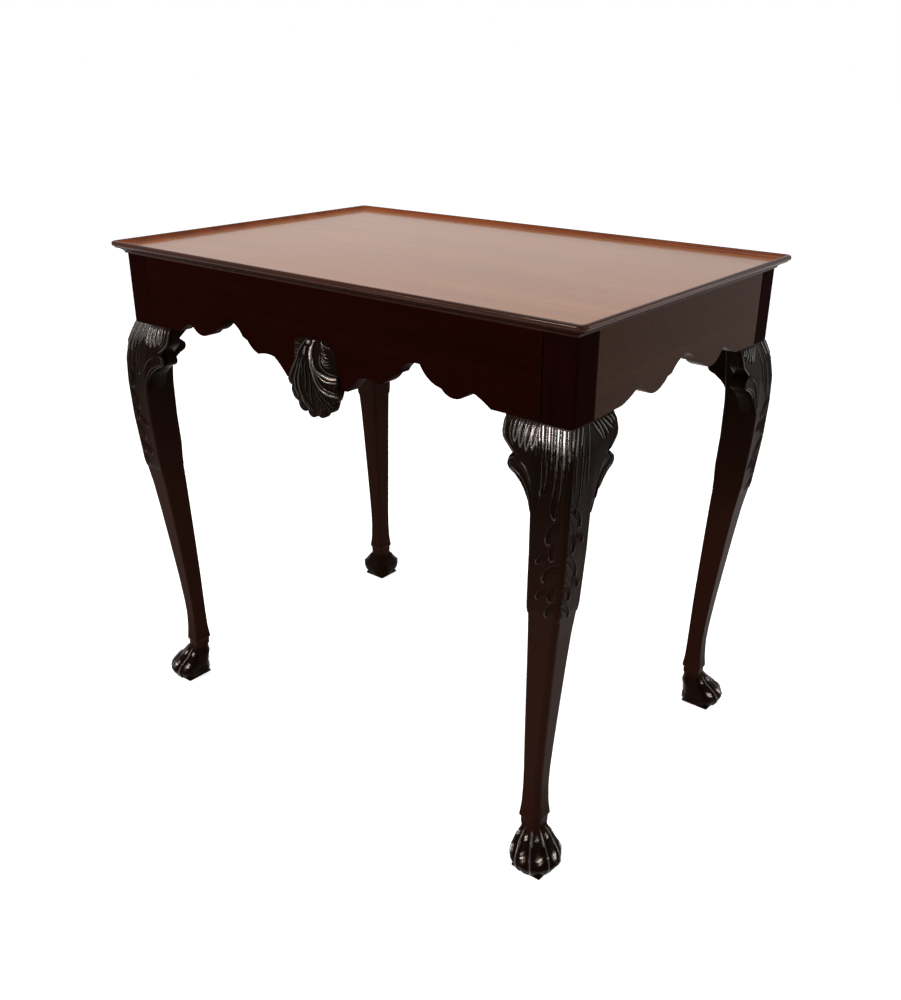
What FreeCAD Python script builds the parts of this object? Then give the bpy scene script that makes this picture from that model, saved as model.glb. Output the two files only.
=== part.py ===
import FreeCAD, Part
import math
import os
from FreeCAD import Vector

# Carved mahogany silver table: a tray top on a shaped frieze and four cabriole legs with paw feet.
# Sizes are in millimetres, +Z is up, and the origin is on the floor under the middle of the table.
# The long side with the shell faces -Y. A place on a leg is given by its inset, the distance in from
# the outer corner of the frieze.

# Overall size
table_length = 832.0
table_width = 552.0
table_height = 752.0

# Tray top: a board with a hollow moulded edge, and a mitred lip planted in a rebate round it
top_overhang = 17.2
board_thickness = 11.1
lip_height = 6.5
lip_width = 15.5
lip_rebate = 1.5
bead_radius = 4.0
lip_corner_radius = 10.0
cove_fillet = 1.4
cove_depth = 8.2

# Frieze rails, tenoned into the posts at the heads of the legs
apron_depth = 102.6
scallop = 36.5
scallop_drop = 4.0
rail_thickness = 22.0
post_width = 44.0
post_arris_radius = 5.0
tenon_thickness = 8.0
tenon_length = 22.0
tenon_root = 6.0
tenon_height = 66.0
tenon_drop = 16.0
cheek_clearance = 0.1
mortise_end_clearance = 1.0

# Cabriole leg: widths of its nearly square section, and insets of the section's middle
knee_width = 52.0
ankle_width = 25.6
knee_inset_x = 14.0
knee_inset_y = 5.5
ankle_inset_x = 40.5
ankle_inset_y = 22.5
leaf_step = 1.7
leaf_end_height = 396.0
ankle_height = 120.0

# Paw foot: collar, neck, five toes carved from one block, and the square pad that they stand on
collar_height = 72.0
collar_width = 31.5
neck_height = 60.0
neck_width = 27.0
foot_inset_x = 29.0
foot_inset_y = 10.5
pad_width = 46.0
pad_thickness = 3.5
toe_count = 5
toe_spread_degrees = 156.0
toe_reach = 37.0
toe_groove = 4.6
heel_reach = 30.0

# Ears: carved brackets glued under the rails on both sides of each knee
ear_length = 90.0
ear_drop = 104.0
ear_end_relief = 9.0
ear_depth = 14.0

# Shell: carved on its own block, glued to the middle of each long rail
shell_left = 47.0
shell_right = 48.0
shell_top_rise = 62.0
shell_drop = 44.0
shell_relief = 13.0
shell_back_thickness = 14.0
shell_rib_count = 8
shell_rib_bulge_share = 0.26
scroll_radius = 4.4

# Hidden fixings: glue blocks and pocket screws that hold the top
corner_block_width = 18.0
corner_block_height = 74.0
corner_block_gap = 8.0
glue_block_length = 70.0
glue_block_width = 18.0
glue_block_cut = 7.0
pocket_width = 15.0
pocket_depth = 12.0
pocket_height = 24.0
pocket_slope_height = 30.0
pocket_roof = 18.0
screw_diameter = 4.0
screw_head_diameter = 8.0
screw_head_height = 2.6
screw_bite = 8.0
screw_clearance = 0.1

# A cutting solid runs this far past what it cuts
overrun = 5.0

# Levels and faces that follow from the sizes above
tray_floor = table_height - lip_height
rail_top = tray_floor - board_thickness
knee_top = rail_top - apron_depth
apron_low = knee_top - scallop_drop
frieze_x = table_length / 2 - top_overhang
frieze_y = table_width / 2 - top_overhang
rail_clear_x = frieze_x - post_width
rail_clear_y = frieze_y - post_width

os.makedirs("parts", exist_ok=True)


def between(first, second, share):
    """The value that lies a share of the way from the first to the second."""
    return first + (second - first) * share


def save(name, shape):
    """Writes one node and says what it holds."""
    shape.exportStep("parts/" + name + ".step")
    print(name, len(shape.Solids), round(shape.Volume), shape.isValid())


def wire_of(place, start, moves):
    """A closed wire: each move is (end,) for a line, or (middle, end) for an arc through the middle."""
    edges = []
    here = place(*start)
    for move in moves + [(start,)]:
        there = place(*move[-1])
        if here.distanceToPoint(there) > 0:
            if len(move) == 1:
                edges.append(Part.LineSegment(here, there).toShape())
            else:
                edges.append(Part.Arc(here, place(*move[0]), there).toShape())
        here = there
    return Part.Wire(edges)


def prism_along_y(start, moves, y_from, y_to):
    """A solid from an outline drawn in X and Z, pulled along Y."""
    face = Part.Face(wire_of(lambda x, z: Vector(x, y_from, z), start, moves))
    return face.extrude(Vector(0, y_to - y_from, 0))


def prism_along_x(start, moves, x_from, x_to):
    """A solid from an outline drawn in Y and Z, pulled along X."""
    face = Part.Face(wire_of(lambda y, z: Vector(x_from, y, z), start, moves))
    return face.extrude(Vector(x_to - x_from, 0, 0))


def prism_along_z(start, moves, z_from, z_to):
    """A solid from an outline drawn in X and Y, pulled along Z."""
    face = Part.Face(wire_of(lambda x, y: Vector(x, y, z_from), start, moves))
    return face.extrude(Vector(0, 0, z_to - z_from))


def block(x_from, x_to, y_from, y_to, z_from, z_to):
    """A box between two corners."""
    return Part.makeBox(x_to - x_from, y_to - y_from, z_to - z_from, Vector(x_from, y_from, z_from))


def upright_edges(shape):
    """The vertical straight edges of a block."""
    return [e for e in shape.Edges if e.BoundBox.XLength + e.BoundBox.YLength < e.BoundBox.ZLength]


def turned(shape, degrees):
    """A copy turned about the table's middle."""
    copy = shape.copy()
    copy.rotate(Vector(0, 0, 0), Vector(0, 0, 1), degrees)
    return copy


def mirrored_x(shape):
    """The same piece at the other end of the table."""
    return shape.mirror(Vector(0, 0, 0), Vector(1, 0, 0))


def mirrored_y(shape):
    """The same piece on the other long side."""
    return shape.mirror(Vector(0, 0, 0), Vector(0, 1, 0))


# The four sides in turn: name, half length of the side, distance of its frieze face, turn in degrees
sides = [
    ("front", frieze_x, frieze_y, 0),
    ("right", frieze_y, frieze_x, 90),
    ("back", frieze_x, frieze_y, 180),
    ("left", frieze_y, frieze_x, 270),
]
rail_clear = {"front": rail_clear_x, "back": rail_clear_x, "left": rail_clear_y, "right": rail_clear_y}

# Screws and glue blocks along each side, as shares of the half clear length of its rail
screw_place_shares = {"front": (-0.72, 0.72), "right": (0.0,)}
screw_place_shares["back"] = screw_place_shares["front"]
screw_place_shares["left"] = screw_place_shares["right"]
glue_place_shares = {"front": (-0.48, -0.22, 0.22, 0.48), "right": (-0.42, 0.42)}
glue_place_shares["back"] = glue_place_shares["front"]
glue_place_shares["left"] = glue_place_shares["right"]


# The board, cut hollow under its edge, rebated for the lip and bored for the screws. The hollow bends
# through a place given as shares of its reach and of its depth.
cove_bend_shares = (0.29, 0.62)


def make_board():
    edge = bead_radius
    half_x = table_length / 2 - edge
    half_y = table_width / 2 - edge
    board = block(-half_x, half_x, -half_y, half_y, rail_top, tray_floor)
    board = board.makeFillet(lip_corner_radius - edge, upright_edges(board))
    inner_x = table_length / 2 - lip_width
    inner_y = table_width / 2 - lip_width
    rebate_floor = tray_floor - lip_rebate
    rebate = block(-half_x - overrun, half_x + overrun, -half_y - overrun, half_y + overrun,
                   rebate_floor, tray_floor + overrun)
    rebate = rebate.cut(block(-inner_x, inner_x, -inner_y, inner_y, rail_top, tray_floor + overrun))
    board = board.cut(rebate)
    for name, half_length, face, degrees in sides:
        outer = face + top_overhang
        reach = outer - edge
        low = face + cove_fillet
        high = rail_top + cove_depth
        bend = (between(low, reach, cove_bend_shares[0]), between(rail_top, high, cove_bend_shares[1]))
        moves = [((-low, rail_top + cove_fillet),), ((-bend[0], bend[1]), (-reach, high)),
                 ((-outer - overrun, high),), ((-outer - overrun, rail_top - overrun),),
                 ((-low, rail_top - overrun),)]
        length = half_length + top_overhang + overrun
        board = board.cut(turned(prism_along_x((-low, rail_top), moves, -length, length), degrees))
    for name, half_length, face, degrees in sides:
        for share in screw_place_shares[name]:
            hole = Part.makeCylinder(screw_diameter / 2 + screw_clearance, screw_bite + screw_clearance,
                                     Vector(share * rail_clear[name], screw_line(face), rail_top))
            board = board.cut(turned(hole, degrees))
    return board


def screw_line(face):
    """The line of the screws: in the rail's wood, half a pocket from its inner face."""
    return -(face - rail_thickness + pocket_depth / 2)


# One length of lip: a bead outside, a hollow down to the tray floor, mitred and rounded at its ends.
# The bead's places are shares of its radius, in from the outer edge and down from the crown: the middle
# of its upper arc, its top, and the middle and end of its inner arc. The hollow's are shares of the way
# from the bead to the lip's foot, and of the bead's end over the tray floor.
bead_place_shares = [(0.29, 0.29), (1.0, 0.0), (1.62, 0.22), (1.9, 0.7)]
bead_foot_share = 0.4
hollow_place_shares = [(0.29, 0.60), (0.65, 0.20)]


def make_lip(half_length, face):
    tip = half_length + top_overhang
    outer = face + top_overhang
    centre = tip - lip_corner_radius
    rebate_floor = tray_floor - lip_rebate
    bead = [(bead_radius * u, table_height - bead_radius * z) for u, z in bead_place_shares]
    bead_end = bead[-1]
    turn_end = (lip_corner_radius, between(tray_floor, bead_end[1], hollow_place_shares[0][1]))
    hollow = (between(bead_end[0], lip_width, hollow_place_shares[1][0]),
              between(tray_floor, bead_end[1], hollow_place_shares[1][1]))
    outside = (0, table_height - bead_radius)
    bead_moves = [(bead[0], bead[1]), (bead[2], bead_end), (turn_end,), ((lip_corner_radius, rebate_floor),),
                  ((bead_radius * bead_foot_share, rebate_floor),)]
    inner_moves = [(hollow,), ((lip_width, tray_floor),), ((lip_width, rebate_floor),),
                   ((lip_corner_radius, rebate_floor),)]

    def bead_face(x):
        """The outer part of the section, across the lip at a place along it."""
        return Part.Face(wire_of(lambda u, z: Vector(x, -outer + u, z), outside, bead_moves))

    lip = bead_face(-centre).extrude(Vector(2 * centre, 0, 0))
    for side in (-1, 1):
        pivot = Vector(side * centre, -outer + lip_corner_radius, 0)
        lip = lip.fuse(bead_face(side * centre).revolve(pivot, Vector(0, 0, 1), side * 45))
    inner = prism_along_x(turn_end, inner_moves, -tip, tip)
    inner.translate(Vector(0, -outer, 0))
    keep = prism_along_z((-tip, -outer), [((tip, -outer),), ((tip - lip_width, -outer + lip_width),),
                                         ((-tip + lip_width, -outer + lip_width),)],
                         tray_floor - overrun, table_height + overrun)
    return lip.fuse(inner.common(keep)).removeSplitter()


# Lower edges of the rails, from a shoulder in to the middle: shares of the half clear length and of the
# scallop, the height between the edge's lowest and highest points. Two places are an arc, one a line.
long_edge_shares = [
    ((0.81, 0.115),), ((0.773, 0.34), (0.75, 0.46)), ((0.731, 0.485), (0.710, 0.39)),
    ((0.660, 0.16), (0.602, 0.40)), ((0.577, 0.46),), ((0.534, 0.72), (0.508, 1.05)),
    ((0.446, 0.93), (0.406, 0.53)), ((0.378, 0.42),), ((0.349, 0.14), (0.318, 0.0)),
    ((0.270, 0.085), (0.227, 0.05)), ((0.194, -0.22), (0.160, -0.57)),
]
short_edge_shares = [
    ((0.72, 0.16),), ((0.620, 0.35), (0.555, 0.54)), ((0.525, 0.56), (0.490, 0.46)),
    ((0.360, 0.085), (0.262, 0.24)), ((0.232, 0.325), (0.210, 0.44)), ((0.158, 0.50),),
    ((0.095, 0.80), (0.0, 1.0)),
]


def lower_edge(clear, edge_shares):
    """The moves along a rail's lower edge, from its right shoulder to its left one."""
    going_in = [tuple((clear * x, apron_low + scallop * z) for x, z in run) for run in edge_shares]
    ends = [(clear, knee_top)] + [run[-1] for run in going_in]
    going_out = [((-ends[-1][0], ends[-1][1]),)]
    for index in reversed(range(len(going_in))):
        bend = tuple((-x, z) for x, z in going_in[index][:-1])
        going_out.append(bend + ((-ends[index][0], ends[index][1]),))
    return [(ends[0],)] + going_in + going_out


# A rail with its two tenons, shaped below and pocketed inside for the screws
def make_rail(name, face):
    clear = rail_clear[name]
    edge_shares = long_edge_shares if name in ("front", "back") else short_edge_shares
    moves = lower_edge(clear, edge_shares) + [((-clear, rail_top),)]
    rail = prism_along_y((clear, rail_top), moves, -face, -face + rail_thickness)
    tenon_low = rail_top - tenon_drop - tenon_height
    tenon_face = -face + (rail_thickness - tenon_thickness) / 2
    reach = clear + tenon_length
    for outer, root in ((reach, clear - tenon_root), (-reach, tenon_root - clear)):
        rail = rail.fuse(block(min(outer, root), max(outer, root), tenon_face, tenon_face + tenon_thickness,
                               tenon_low, tenon_low + tenon_height))
    rail = rail.removeSplitter()
    inside = -face + rail_thickness
    roof = rail_top - pocket_roof
    for share in screw_place_shares[name]:
        x = share * clear
        moves = [((inside + overrun, roof),),
                 ((inside + overrun, roof - pocket_height - pocket_slope_height),),
                 ((inside, roof - pocket_height - pocket_slope_height),),
                 ((inside - pocket_depth, roof - pocket_height),)]
        pocket = prism_along_x((inside - pocket_depth, roof), moves, x - pocket_width / 2,
                               x + pocket_width / 2)
        hole = Part.makeCylinder(screw_diameter / 2 + screw_clearance, pocket_roof + 2 * overrun,
                                 Vector(x, screw_line(face), roof - overrun))
        rail = rail.cut(pocket).cut(hole)
    return rail


# A nearly square section of the leg: a rounded arris on the outer corner, the other corners eased
arris_share = 0.12
eased_share = 0.08


def leg_section(inset_x, inset_y, width, z):
    """The section at one height, from the arris round by the two ends and the back."""
    out_x = frieze_x - inset_x + width / 2
    out_y = -frieze_y + inset_y - width / 2
    r = width * arris_share
    c = width * eased_share
    bend = r - r * math.sqrt(0.5)

    def place(along_x, along_y):
        """A place given by its distances in from the two outer faces."""
        return Vector(out_x - along_x, out_y + along_y, z)

    moves = [((bend, bend), (r, 0)), ((width - c, 0),), ((width, c),), ((width, width - c),),
             ((width - c, width),), ((c, width),), ((0, width - c),)]
    return wire_of(place, (0, r), moves)


# Stations of the knee, from the post down to the end of the leaf: share of the height between them,
# share of the way from the knee's inset to the post's middle, share of the way to the ankle's inset,
# and width as a share of the knee's
knee_station_shares = [
    (1.0, 1.0, 0.0, 0.824), (0.945, 0.74, 0.0, 0.905), (0.875, 0.44, 0.0, 0.985),
    (0.76, 0.15, 0.0, 1.03), (0.60, 0.02, 0.0, 1.005), (0.36, 0.0, 0.05, 0.975),
    (0.0, 0.0, 0.26, 0.915),
]
# Stations of the shank below the leaf: share of the height between the leaf's end and the ankle,
# share of the way from the knee's inset to the ankle's, and share of the way in width
shank_station_shares = [
    (1.0, 0.26, 0.74), (0.88, 0.39, 0.605), (0.70, 0.54, 0.46), (0.48, 0.71, 0.30),
    (0.26, 0.87, 0.14), (0.10, 0.96, 0.03), (0.0, 1.0, 0.0),
]
# The ankle swells into the collar: share of the way down from the one to the other, and in width
ankle_swell_shares = (0.6, 0.3)


def knee_stations():
    """Insets, width and height of each station of the knee, from the post down."""
    stations = []
    for height, to_post, to_ankle, width in knee_station_shares:
        inset_x = between(knee_inset_x, post_width / 2, to_post) + (ankle_inset_x - knee_inset_x) * to_ankle
        inset_y = between(knee_inset_y, post_width / 2, to_post) + (ankle_inset_y - knee_inset_y) * to_ankle
        stations.append((inset_x, inset_y, knee_width * width, between(leaf_end_height, knee_top, height)))
    return stations


def make_leg():
    knee = [leg_section(*station) for station in knee_stations()]
    shank = []
    for height, to_ankle, width in shank_station_shares:
        z = between(ankle_height, leaf_end_height, height)
        shank.append(leg_section(between(knee_inset_x, ankle_inset_x, to_ankle),
                                 between(knee_inset_y, ankle_inset_y, to_ankle),
                                 between(ankle_width, knee_width, width) - leaf_step * height, z))
    for width, z in ((between(ankle_width, collar_width, ankle_swell_shares[1]),
                      between(ankle_height, collar_height, ankle_swell_shares[0])),
                     (collar_width, collar_height), (neck_width, neck_height)):
        shank.append(leg_section(ankle_inset_x, ankle_inset_y, width, z))
    post = block(frieze_x - post_width, frieze_x, -frieze_y, -frieze_y + post_width, knee_top, rail_top)
    arris = [e for e in upright_edges(post) if e.CenterOfMass.x > rail_clear_x
             and e.CenterOfMass.y < -rail_clear_y]
    post = post.makeFillet(post_arris_radius, arris)
    lofts = [Part.makeLoft(knee, True, True), Part.makeLoft(shank, True, True)]
    leg = post.fuse(lofts + [make_paw()]).removeSplitter()
    for mortise in mortises():
        leg = leg.cut(mortise)
    return leg


def mortises():
    """The two blind mortises in the post, one for each rail's tenon."""
    low = rail_top - tenon_drop - tenon_height - cheek_clearance
    high = rail_top - tenon_drop + cheek_clearance
    near = (rail_thickness - tenon_thickness) / 2 - cheek_clearance
    far = near + tenon_thickness + 2 * cheek_clearance
    mouth = post_width + overrun
    end = post_width - tenon_length - mortise_end_clearance
    return [block(frieze_x - mouth, frieze_x - end, -frieze_y + near, -frieze_y + far, low, high),
            block(frieze_x - far, frieze_x - near, -frieze_y + end, -frieze_y + mouth, low, high)]


# Levels of the paw, from the pad up to the neck: share of the neck's height, share of the way from the
# foot's middle to the ankle's, reach of the toes, depth of the grooves and reach of the heel as shares
paw_level_shares = [
    (0.03, 0.0, 0.79, 0.6, 1.0), (0.15, 0.0, 0.91, 1.0, 1.0), (0.31, 0.0, 1.0, 1.0, 0.97),
    (0.50, 0.28, 0.83, 0.85, 0.81), (0.72, 0.76, 0.53, 0.55, 0.59), (1.0, 1.0, 0.42, 0.1, 0.50),
]
heel_flat_share = 0.35


def paw_section(height, to_ankle, reach, groove, heel):
    """A lobed outline: an arc for each toe about the outward diagonal, and a plain heel behind."""
    middle_x = frieze_x - between(foot_inset_x, ankle_inset_x, to_ankle)
    middle_y = -frieze_y + between(foot_inset_y, ankle_inset_y, to_ankle)
    step = toe_spread_degrees / (toe_count - 1)
    valley = toe_reach * reach - toe_groove * groove
    back = heel_reach * heel

    def place(radius, degrees):
        """A place at a distance from the middle, turned from the outward diagonal."""
        turn = math.radians(degrees - 45)
        return Vector(middle_x + radius * math.cos(turn), middle_y + radius * math.sin(turn),
                      neck_height * height)

    first = -(toe_spread_degrees + step) / 2
    moves = []
    for toe in range(toe_count):
        start = first + step * toe
        moves.append(((toe_reach * reach, start + step / 2), (valley, start + step)))
    flat = math.degrees(math.atan(heel_flat_share))
    corner = back * math.hypot(1, heel_flat_share)
    moves.append(((corner, 180 - flat),))
    moves.append(((corner, 180 + flat),))
    return wire_of(place, (valley, first), moves)


def make_paw():
    """The toes and heel lofted down from the neck, on the square pad."""
    pad_x = frieze_x - foot_inset_x
    pad_y = -frieze_y + foot_inset_y
    half = pad_width / 2
    pad = block(pad_x - half, pad_x + half, pad_y - half, pad_y + half, 0, pad_thickness)
    levels = [paw_section(*shares) for shares in paw_level_shares]
    return pad.fuse(Part.makeLoft(levels, True, True))


# An ear under the front rail's right end: its front swells to meet the knee, its edge turns in to a
# notch and out again round a scroll. The outline's places are shares of the ear's length, in from the
# corner of the frieze, and of its drop. Down the front, the swell's are shares of the ear's relief and
# of its height, and the relief at its foot is a share too.
ear_outline_shares = [
    ((0.995, 0.18),), ((0.965, 0.25), (0.85, 0.328)), ((0.76, 0.382),), ((0.887, 0.519), (0.76, 0.596)),
    ((0.572, 0.727), (0.485, 0.876)), ((0.43, 1.0),), ((0.0, 1.0),), ((0.0, 0.0),),
]
ear_swell_shares = [(0.62, 0.84), (1.0, 0.58)]
ear_foot_share = 0.78
ear_root_swell_share = 0.485


def make_ear(half_length, face, along, out):
    """Along and out say which of a station's two insets lies along the rail, and which out from it."""
    knee = knee_stations()
    bulge = knee_width * ear_root_swell_share - min(station[out] for station in knee)
    root = half_length - min(station[along] + station[2] / 2 for station in knee) + overrun
    low = knee_top - ear_drop
    back = -face + ear_depth

    def side_view(x, relief):
        """The ear cut across at one place along the rail."""
        swell = [(-face - relief * beyond, between(low, knee_top, height))
                 for beyond, height in ear_swell_shares]
        moves = [tuple(swell), ((-face - relief * ear_foot_share, low),), ((back, low),), ((back, knee_top),)]
        return wire_of(lambda y, z: Vector(x, y, z), (-face, knee_top), moves)

    def at(length_share, drop_share):
        """A place on the ear seen from the front."""
        return (half_length - ear_length * length_share, knee_top - ear_drop * drop_share)

    swell = Part.makeLoft([side_view(half_length - ear_length, ear_end_relief), side_view(root, bulge)],
                          True, True)
    outline = [tuple(at(*place) for place in run) for run in ear_outline_shares]
    shape = prism_along_y(at(1.0, 0.0), outline, -face - knee_width, back + overrun)
    inner_face = [((half_length - station[along] - station[2] / 2, station[3]),) for station in knee]
    beyond_leg = half_length + overrun
    leg_side = prism_along_y((beyond_leg, knee_top), inner_face + [((inner_face[-1][0][0], ankle_height),),
                                                                  ((beyond_leg, ankle_height),)],
                             -face - knee_width, back + overrun)
    return swell.common(shape).cut(leg_side).removeSplitter()


# The shell: scalloped sections lofted downwards, so that its ribs spread from the two scrolls, cut to
# a lobed outline and set on a block that hooks under the rail. Sections are shares of the shell's
# height down from its crown, of its two widths and of its relief.
shell_section_shares = [
    (-0.02, 0.22, 0.08, 0.45), (0.32, 0.66, 0.42, 0.92), (0.64, 1.02, 0.96, 0.98),
    (1.08, 1.10, 1.14, 0.62),
]
shell_outline_shares = [
    ((0.10, 0.0),), ((-0.22, 0.0),), ((-0.50, 0.22),), ((-1.0, 0.53),),
    ((-0.98, 0.60), (-0.86, 0.64)), ((-0.84, 0.76), (-0.62, 0.83)), ((-0.47, 0.94), (-0.24, 0.92)),
    ((-0.06, 1.0), (0.12, 0.94)), ((0.38, 0.97), (0.54, 0.87)), ((0.80, 0.85), (0.88, 0.73)),
    ((1.04, 0.66), (0.98, 0.53)), ((0.60, 0.25),),
]
scroll_place_shares = [(-0.20, 0.03), (0.03, 0.01)]
scroll_rise_share = 0.8


def make_shell():
    height = shell_top_rise + shell_drop
    seat = apron_low + scallop * long_edge_shares[-1][-1][1]
    crown = seat + shell_top_rise
    face = -frieze_y
    back = face + shell_back_thickness

    def at(x_share, drop_share):
        """A place on the shell seen from the front."""
        width = shell_left if x_share < 0 else shell_right
        return (width * x_share, crown - height * drop_share)

    sections = []
    for drop, left, right, relief in shell_section_shares:
        x_from = -shell_left * left
        step = (shell_right * right - x_from) / shell_rib_count
        edge = face - shell_relief * relief / 2
        grooves = [edge - shell_relief * relief / 2 * math.sin(math.pi * rib / shell_rib_count)
                   for rib in range(shell_rib_count + 1)]
        moves = [((x_from, edge),)]
        for rib in range(shell_rib_count):
            here = x_from + step * rib
            top = (grooves[rib] + grooves[rib + 1]) / 2 - shell_rib_bulge_share * step
            moves.append(((here + step / 2, top), (here + step, grooves[rib + 1])))
        moves.append(((x_from + step * shell_rib_count, back),))
        z = crown - height * drop
        sections.append(wire_of(lambda x, y: Vector(x, y, z), (x_from, back), moves))
    ribs = Part.makeLoft(sections, True, True)
    outline = [tuple(at(*place) for place in run) for run in shell_outline_shares]
    body = ribs.common(prism_along_y(at(0.30, 0.0), outline, face - 2 * shell_relief, back))
    behind_rail = block(-table_length, table_length, face, face + table_width, seat, crown + height)
    scrolls = []
    for place in scroll_place_shares:
        x, z = at(*place)
        scrolls.append(Part.makeSphere(scroll_radius, Vector(x, face - scroll_radius * scroll_rise_share, z)))
    return body.fuse(scrolls).cut(behind_rail).removeSplitter()


# The blocks and screws inside the frame, made on the front side and turned to the others
def make_corner_block(clear, face):
    inside = -face + rail_thickness
    w = corner_block_width
    top = rail_top - corner_block_gap
    return prism_along_z((clear, inside), [((clear - w, inside),), ((clear, inside + w),)],
                         top - corner_block_height, top)


def make_glue_blocks(name, face):
    inside = -face + rail_thickness
    w = glue_block_width
    cut = glue_block_cut
    blocks = []
    for share in glue_place_shares[name]:
        x = share * rail_clear[name]
        moves = [((inside + w, rail_top),), ((inside + w, rail_top - w + cut),),
                 ((inside + w - cut, rail_top - w),), ((inside, rail_top - w),)]
        blocks.append(prism_along_x((inside, rail_top), moves, x - glue_block_length / 2,
                                    x + glue_block_length / 2))
    return Part.Compound(blocks)


def make_screws():
    screws = []
    roof = rail_top - pocket_roof
    for name, half_length, face, degrees in sides:
        for share in screw_place_shares[name]:
            foot = Vector(share * rail_clear[name], screw_line(face), roof - screw_head_height)
            head = Part.makeCylinder(screw_head_diameter / 2, screw_head_height, foot)
            shank = Part.makeCylinder(screw_diameter / 2, screw_head_height + pocket_roof + screw_bite, foot)
            screws.append(turned(head.fuse(shank).removeSplitter(), degrees))
    return Part.Compound(screws)


# Building and saving, from the legs up
leg = make_leg()
long_ear = make_ear(frieze_x, frieze_y, 0, 1)
short_ear = turned(mirrored_x(make_ear(frieze_y, frieze_x, 1, 0)), 90)
save("leg_front_right", leg)
save("leg_front_left", mirrored_x(leg))
save("leg_back_right", mirrored_y(leg))
save("leg_back_left", mirrored_x(mirrored_y(leg)))
save("ear_front_rail_right", long_ear)
save("ear_front_rail_left", mirrored_x(long_ear))
save("ear_back_rail_right", mirrored_y(long_ear))
save("ear_back_rail_left", mirrored_x(mirrored_y(long_ear)))
save("ear_right_rail_front", short_ear)
save("ear_right_rail_back", mirrored_y(short_ear))
save("ear_left_rail_front", mirrored_x(short_ear))
save("ear_left_rail_back", mirrored_x(mirrored_y(short_ear)))

shell = make_shell()
save("shell_front", shell)
save("shell_back", turned(shell, 180))

for side_name, side_half_length, side_face, side_degrees in sides:
    save("rail_" + side_name, turned(make_rail(side_name, side_face), side_degrees))
    save("lip_" + side_name, turned(make_lip(side_half_length, side_face), side_degrees))
    save("glue_blocks_" + side_name, turned(make_glue_blocks(side_name, side_face), side_degrees))
    corner = make_corner_block(rail_clear[side_name], side_face)
    save("corner_block_" + side_name + "_rail_a", turned(corner, side_degrees))
    save("corner_block_" + side_name + "_rail_b", turned(mirrored_x(corner), side_degrees))

save("top_board", make_board())
save("top_screws", make_screws())
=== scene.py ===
import math

import bmesh
import bpy
import numpy as np
from mathutils import Matrix, Vector


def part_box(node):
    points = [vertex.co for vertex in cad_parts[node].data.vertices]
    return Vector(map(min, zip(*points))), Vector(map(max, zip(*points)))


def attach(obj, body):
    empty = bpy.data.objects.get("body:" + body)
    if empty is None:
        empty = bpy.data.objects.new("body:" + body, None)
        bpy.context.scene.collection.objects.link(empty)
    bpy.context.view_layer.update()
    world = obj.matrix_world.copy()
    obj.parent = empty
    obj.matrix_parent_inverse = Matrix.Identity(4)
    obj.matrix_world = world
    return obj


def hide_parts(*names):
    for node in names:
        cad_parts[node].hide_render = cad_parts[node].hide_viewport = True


# A mahogany silver table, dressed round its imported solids. Lengths are in millimetres, as in the part's
# source, and MM turns them into Blender's metres.
MM = 0.001
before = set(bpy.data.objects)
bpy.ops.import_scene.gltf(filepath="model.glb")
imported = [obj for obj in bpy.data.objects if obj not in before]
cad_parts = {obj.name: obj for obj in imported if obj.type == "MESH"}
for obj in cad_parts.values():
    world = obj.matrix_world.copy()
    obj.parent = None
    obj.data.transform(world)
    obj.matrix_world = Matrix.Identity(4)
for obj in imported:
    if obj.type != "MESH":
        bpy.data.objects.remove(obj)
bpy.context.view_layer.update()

# The studio: a plain white floor and air, soft boxes at a plain level, and the photograph's camera.
# Its places and sizes are in metres.
paper_white = "#ffffff"
floor_grey = "#e8e8e8"
warm_white = "#fff0e6"
floor_half = 30.0
air_glow, floor_lift = 0.45, 0.7


def linear(code):
    """A colour written as sRGB hex, in Blender's linear values."""
    shares = [int(code[i:i + 2], 16) / 255 for i in (1, 3, 5)]
    return [s / 12.92 if s <= 0.04045 else ((s + 0.055) / 1.055) ** 2.4 for s in shares] + [1.0]


def node(tree, kind, inputs=None, **settings):
    """Adds one node, with its settings and the values or links of its inputs."""
    made = tree.nodes.new(kind)
    for name, value in settings.items():
        setattr(made, name, value)
    for name, value in (inputs or {}).items():
        if isinstance(value, bpy.types.NodeSocket):
            tree.links.new(value, made.inputs[name])
        else:
            made.inputs[name].default_value = value
    return made


def empty_material(name):
    """A new material whose nodes are still to be added, and its tree."""
    made = bpy.data.materials.new(name)
    made.use_nodes = True
    made.node_tree.nodes.clear()
    return made, made.node_tree


def seen_straight(tree):
    """1 for what the camera, a reflection or a clear piece looks at, and 0 for what only gives light."""
    path = node(tree, "ShaderNodeLightPath").outputs
    seen = node(tree, "ShaderNodeMath", {0: path["Is Camera Ray"], 1: path["Is Glossy Ray"]},
                operation="MAXIMUM")
    return node(tree, "ShaderNodeMath", {0: seen.outputs[0], 1: path["Is Transmission Ray"]},
                operation="MAXIMUM").outputs[0]


world = bpy.data.worlds.new("studio_air")
bpy.context.scene.world = world
world.use_nodes = True
air = world.node_tree
air.nodes.clear()
glow = node(air, "ShaderNodeBackground", {"Color": linear(paper_white), "Strength": air_glow})
white = node(air, "ShaderNodeBackground", {"Color": linear(paper_white), "Strength": 1.0})
both = node(air, "ShaderNodeMixShader", {0: seen_straight(air), 1: glow.outputs[0], 2: white.outputs[0]})
node(air, "ShaderNodeOutputWorld", {"Surface": both.outputs[0]})

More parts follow.
